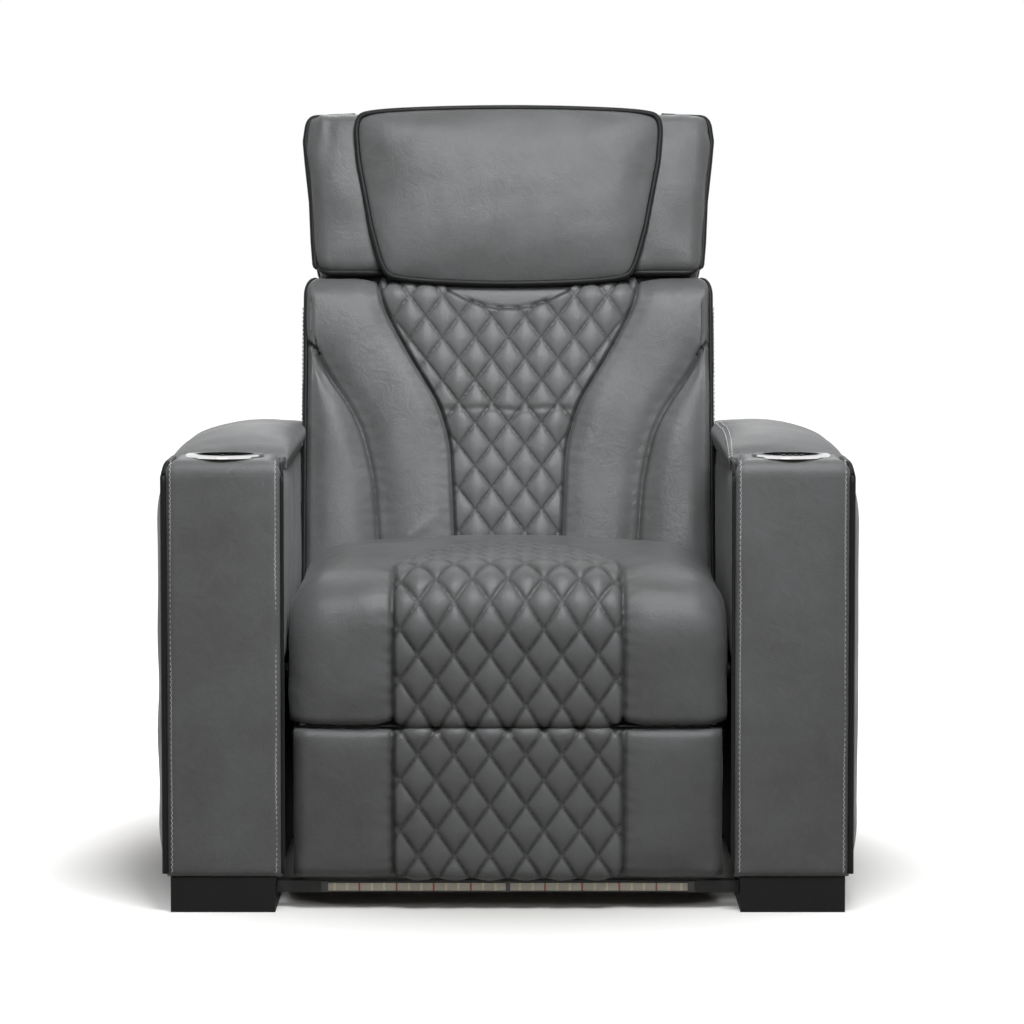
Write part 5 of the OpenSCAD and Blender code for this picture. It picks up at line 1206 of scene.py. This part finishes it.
def strip_sheet(name, grid, thick, material):
    """A thin closed sheet from its middle surface: the grid moved half a thickness both ways."""
    n = normals_of(grid) * thick / 2
    m, k = grid.shape[:2]
    points = np.concatenate([(grid + n).reshape(-1, 3), (grid - n).reshape(-1, 3)])
    a, b = grid_quads(m, k), grid_quads(m, k, start=m * k)[:, ::-1]
    idx = np.arange(m * k).reshape(m, k)
    ring = np.concatenate([idx[0], idx[1:, -1], idx[-1, -2::-1], idx[-2:0:-1, 0]])
    nxt = np.roll(ring, -1)
    walls = np.stack([nxt, ring, ring + m * k, nxt + m * k], -1)
    return make(name, points, np.concatenate([a, b, walls]), material=material)


def strap(name, start, along, across, out, body, nodes=()):
    """A woven strap: a flat grid that sags a little between its ends, as sin of its length share."""
    q, w = np.linspace(0, 1, 40), np.linspace(-0.5, 0.5, 6)
    start, along, across, out = (np.asarray(v, float) for v in (start, along, across, out))
    grid = start + q[:, None, None] * along + w[None, :, None] * across
    grid = grid - (0.5 * np.sin(np.pi * q))[:, None, None] * out
    grid = lean(grid) if body == "back" else grid
    return on_body(strip_sheet(name, grid, 1.4, webbing), body, nodes)


low, high = (np.asarray(c) * 1000 + [0, FRONT, 0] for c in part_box("seat_webbing"))
middle = low[2] + 1.4
for k in range(-2, 3):
    strap("seat_strap_%d" % (k + 3), (k * STRAP_STEP, low[1] + 2, middle),
          (0, high[1] - low[1] - 4, 0), (STRAP_WIDE, 0, 0), (0, 0, 1), "base",
          ["seat_webbing"] if k == -2 else [])
for s, side in ((-1, "left"), (1, "right")):
    for k in range(3):
        strap("seat_side_strap_%s_%d" % (side, k + 1), (s * 195.6, 130 + STRAP_STEP * (k + 0.6), middle),
              (s * 84, 0, 0), (0, STRAP_WIDE, 0), (0, 0, 1), "base")
for k in range(4):
    strap("back_strap_%d" % (k + 1), (-278, -1.4, 59 + STRAP_STEP * (k + 0.7)), (556, 0, 0),
          (0, 0, STRAP_WIDE), (0, -1, 0), "back", ["back_webbing"] if k == 0 else [])

# %% [markdown]
# ## Skirts
# Two leather skirts hide the mechanism when the seat opens: one under the front of the seat and
# one round the neck. Both are made as they lie at rest, and neither is attached to a body. The
# neck's skirt is a ring between two walls, a rounded rectangle seen from above.

# %% Skirts
deep, wide = np.meshgrid(np.linspace(27, 63, 25), np.linspace(-271, 271, 40), indexing="ij")
skirt_piece = strip_sheet("footrest_skirt", np.stack([wide, deep, 247.4 + 0 * deep], -1), 1.6,
                          hide_black)
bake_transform(skirt_piece)


def squarish(wave, power):
    """A sine or cosine raised to a low power with its sign kept, which squares off a circle."""
    return np.sign(wave) * np.abs(wave) ** power


NECK_MID = 12.5
turn = np.linspace(0, 2 * np.pi, 96, endpoint=False)
neck_x, neck_y = 272 * squarish(np.cos(turn), 0.22), 48.5 * squarish(np.sin(turn), 0.3)
levels = np.linspace(500, 548, 22)[:, None]
walls = [np.stack(np.broadcast_arrays(a * neck_x, NECK_MID + b * neck_y, z), -1)
         for a, b, z in ((1, 1, levels), (0.994, 0.965, levels[::-1]))]
neck = make("neck_skirt", lean(np.concatenate(walls).reshape(-1, 3)),
            grid_quads(44, 96, True, True), material=hide_black)
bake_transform(neck)
print("skirts made")

# %% [markdown]
# ## Floor and light
# The floor is plain and pale, and a camera ray sees it nearly white while it still takes the
# object's shadow. The main lamps hang above and stand in front, and their cones dim towards the
# floor, so the seat is lighter at the top than at its foot. A lamp on the right leaves a soft
# shadow on the left, a weak warm one fills in from low down, and one behind lights the rear.
# The world lights almost nothing, yet the camera and reflections see it white.

# %% Floor and lamps
def seen_directly(tree):
    """1 for the rays by which the camera sees a thing, straight, in gloss or through glass."""
    path = node(tree, "LightPath")
    seen = calc(tree, "MAXIMUM", path.outputs["Is Camera Ray"], path.outputs["Is Glossy Ray"])
    return calc(tree, "MAXIMUM", seen, path.outputs["Is Transmission Ray"])


def floor_finish():
    """Diffuse pale floor plus a glow that only camera, glossy and transmission rays see. The glow
    grows with the distance from the seat, so that far off the floor is white and close by it
    still takes the shadow."""
    mat, tree, skin = new_material("floor")
    wire(tree, skin, {"Base Color": (0.5, 0.485, 0.465, 1), "Roughness": 0.9})
    away = node(tree, "VectorMath", {0: object_place(tree)}, operation="LENGTH").outputs["Value"]
    glow_at = ramp(tree, away, 0.0, 1.0, 0.42, 0.85)
    strength = calc(tree, "MULTIPLY", seen_directly(tree), glow_at)
    glow = node(tree, "Emission", {"Color": (1, 1, 1, 1), "Strength": strength})
    both = node(tree, "AddShader", {0: skin.outputs[0], 1: glow.outputs[0]})
    wire(tree, tree.nodes["Material Output"], {0: both.outputs[0]})
    return mat


ground = make("floor", np.array([[-9000, -9000, -0.5], [9000, -9000, -0.5], [9000, 12000, -0.5],
                                 [-9000, 12000, -0.5]]), [[0, 1, 2, 3]], material=floor_finish())
world = bpy.data.worlds.new("studio")
bpy.context.scene.world = world
world.use_nodes = True
sky = world.node_tree
sky.nodes.clear()
back_light = node(sky, "Background", {"Color": (1, 1, 1, 1),
                                     "Strength": ramp(sky, seen_directly(sky), 0.04, 1.0)})
node(sky, "OutputWorld", {0: back_light.outputs[0]})


def lamp(name, place, aim, size, power, colour=(1, 1, 1), cone=180):
    """A square soft lamp that looks at a point. A cone below 180 degrees dims it to the sides."""
    light = bpy.data.lights.new(name, "AREA")
    light.size = size
    light.energy = power
    light.color = colour
    light.spread = math.radians(cone)
    thing = bpy.data.objects.new(name, light)
    thing.location = place
    way = np.asarray(aim, float) - np.asarray(place, float)
    turn_z = math.atan2(way[1], way[0]) - math.pi / 2
    turn_x = math.pi / 2 + math.atan2(way[2], math.hypot(way[0], way[1]))
    thing.rotation_euler = (turn_x, 0, turn_z)
    bpy.context.collection.objects.link(thing)


lamp("overhead", (0.3, -1.6, 2.9), (0, -0.1, 0.85), 1.1, 23, (0.95, 0.98, 1.0), cone=60)
lamp("front", (0.35, -3.2, 2.2), (0, 0, 0.95), 0.9, 2.8, (0.95, 0.98, 1.0), cone=36)
lamp("key", (2.4, -3.0, 2.6), (0, 0, 0.6), 1.0, 18, (1.0, 0.99, 0.97))
lamp("fill", (-0.6, -3.5, 0.5), (0, 0, 0.2), 1.5, 4, (1.0, 0.8, 0.58))
lamp("rear", (0.0, 2.6, 2.8), (0, 0.2, 0.8), 1.6, 40)
bpy.context.scene.view_settings.view_transform = "Standard"
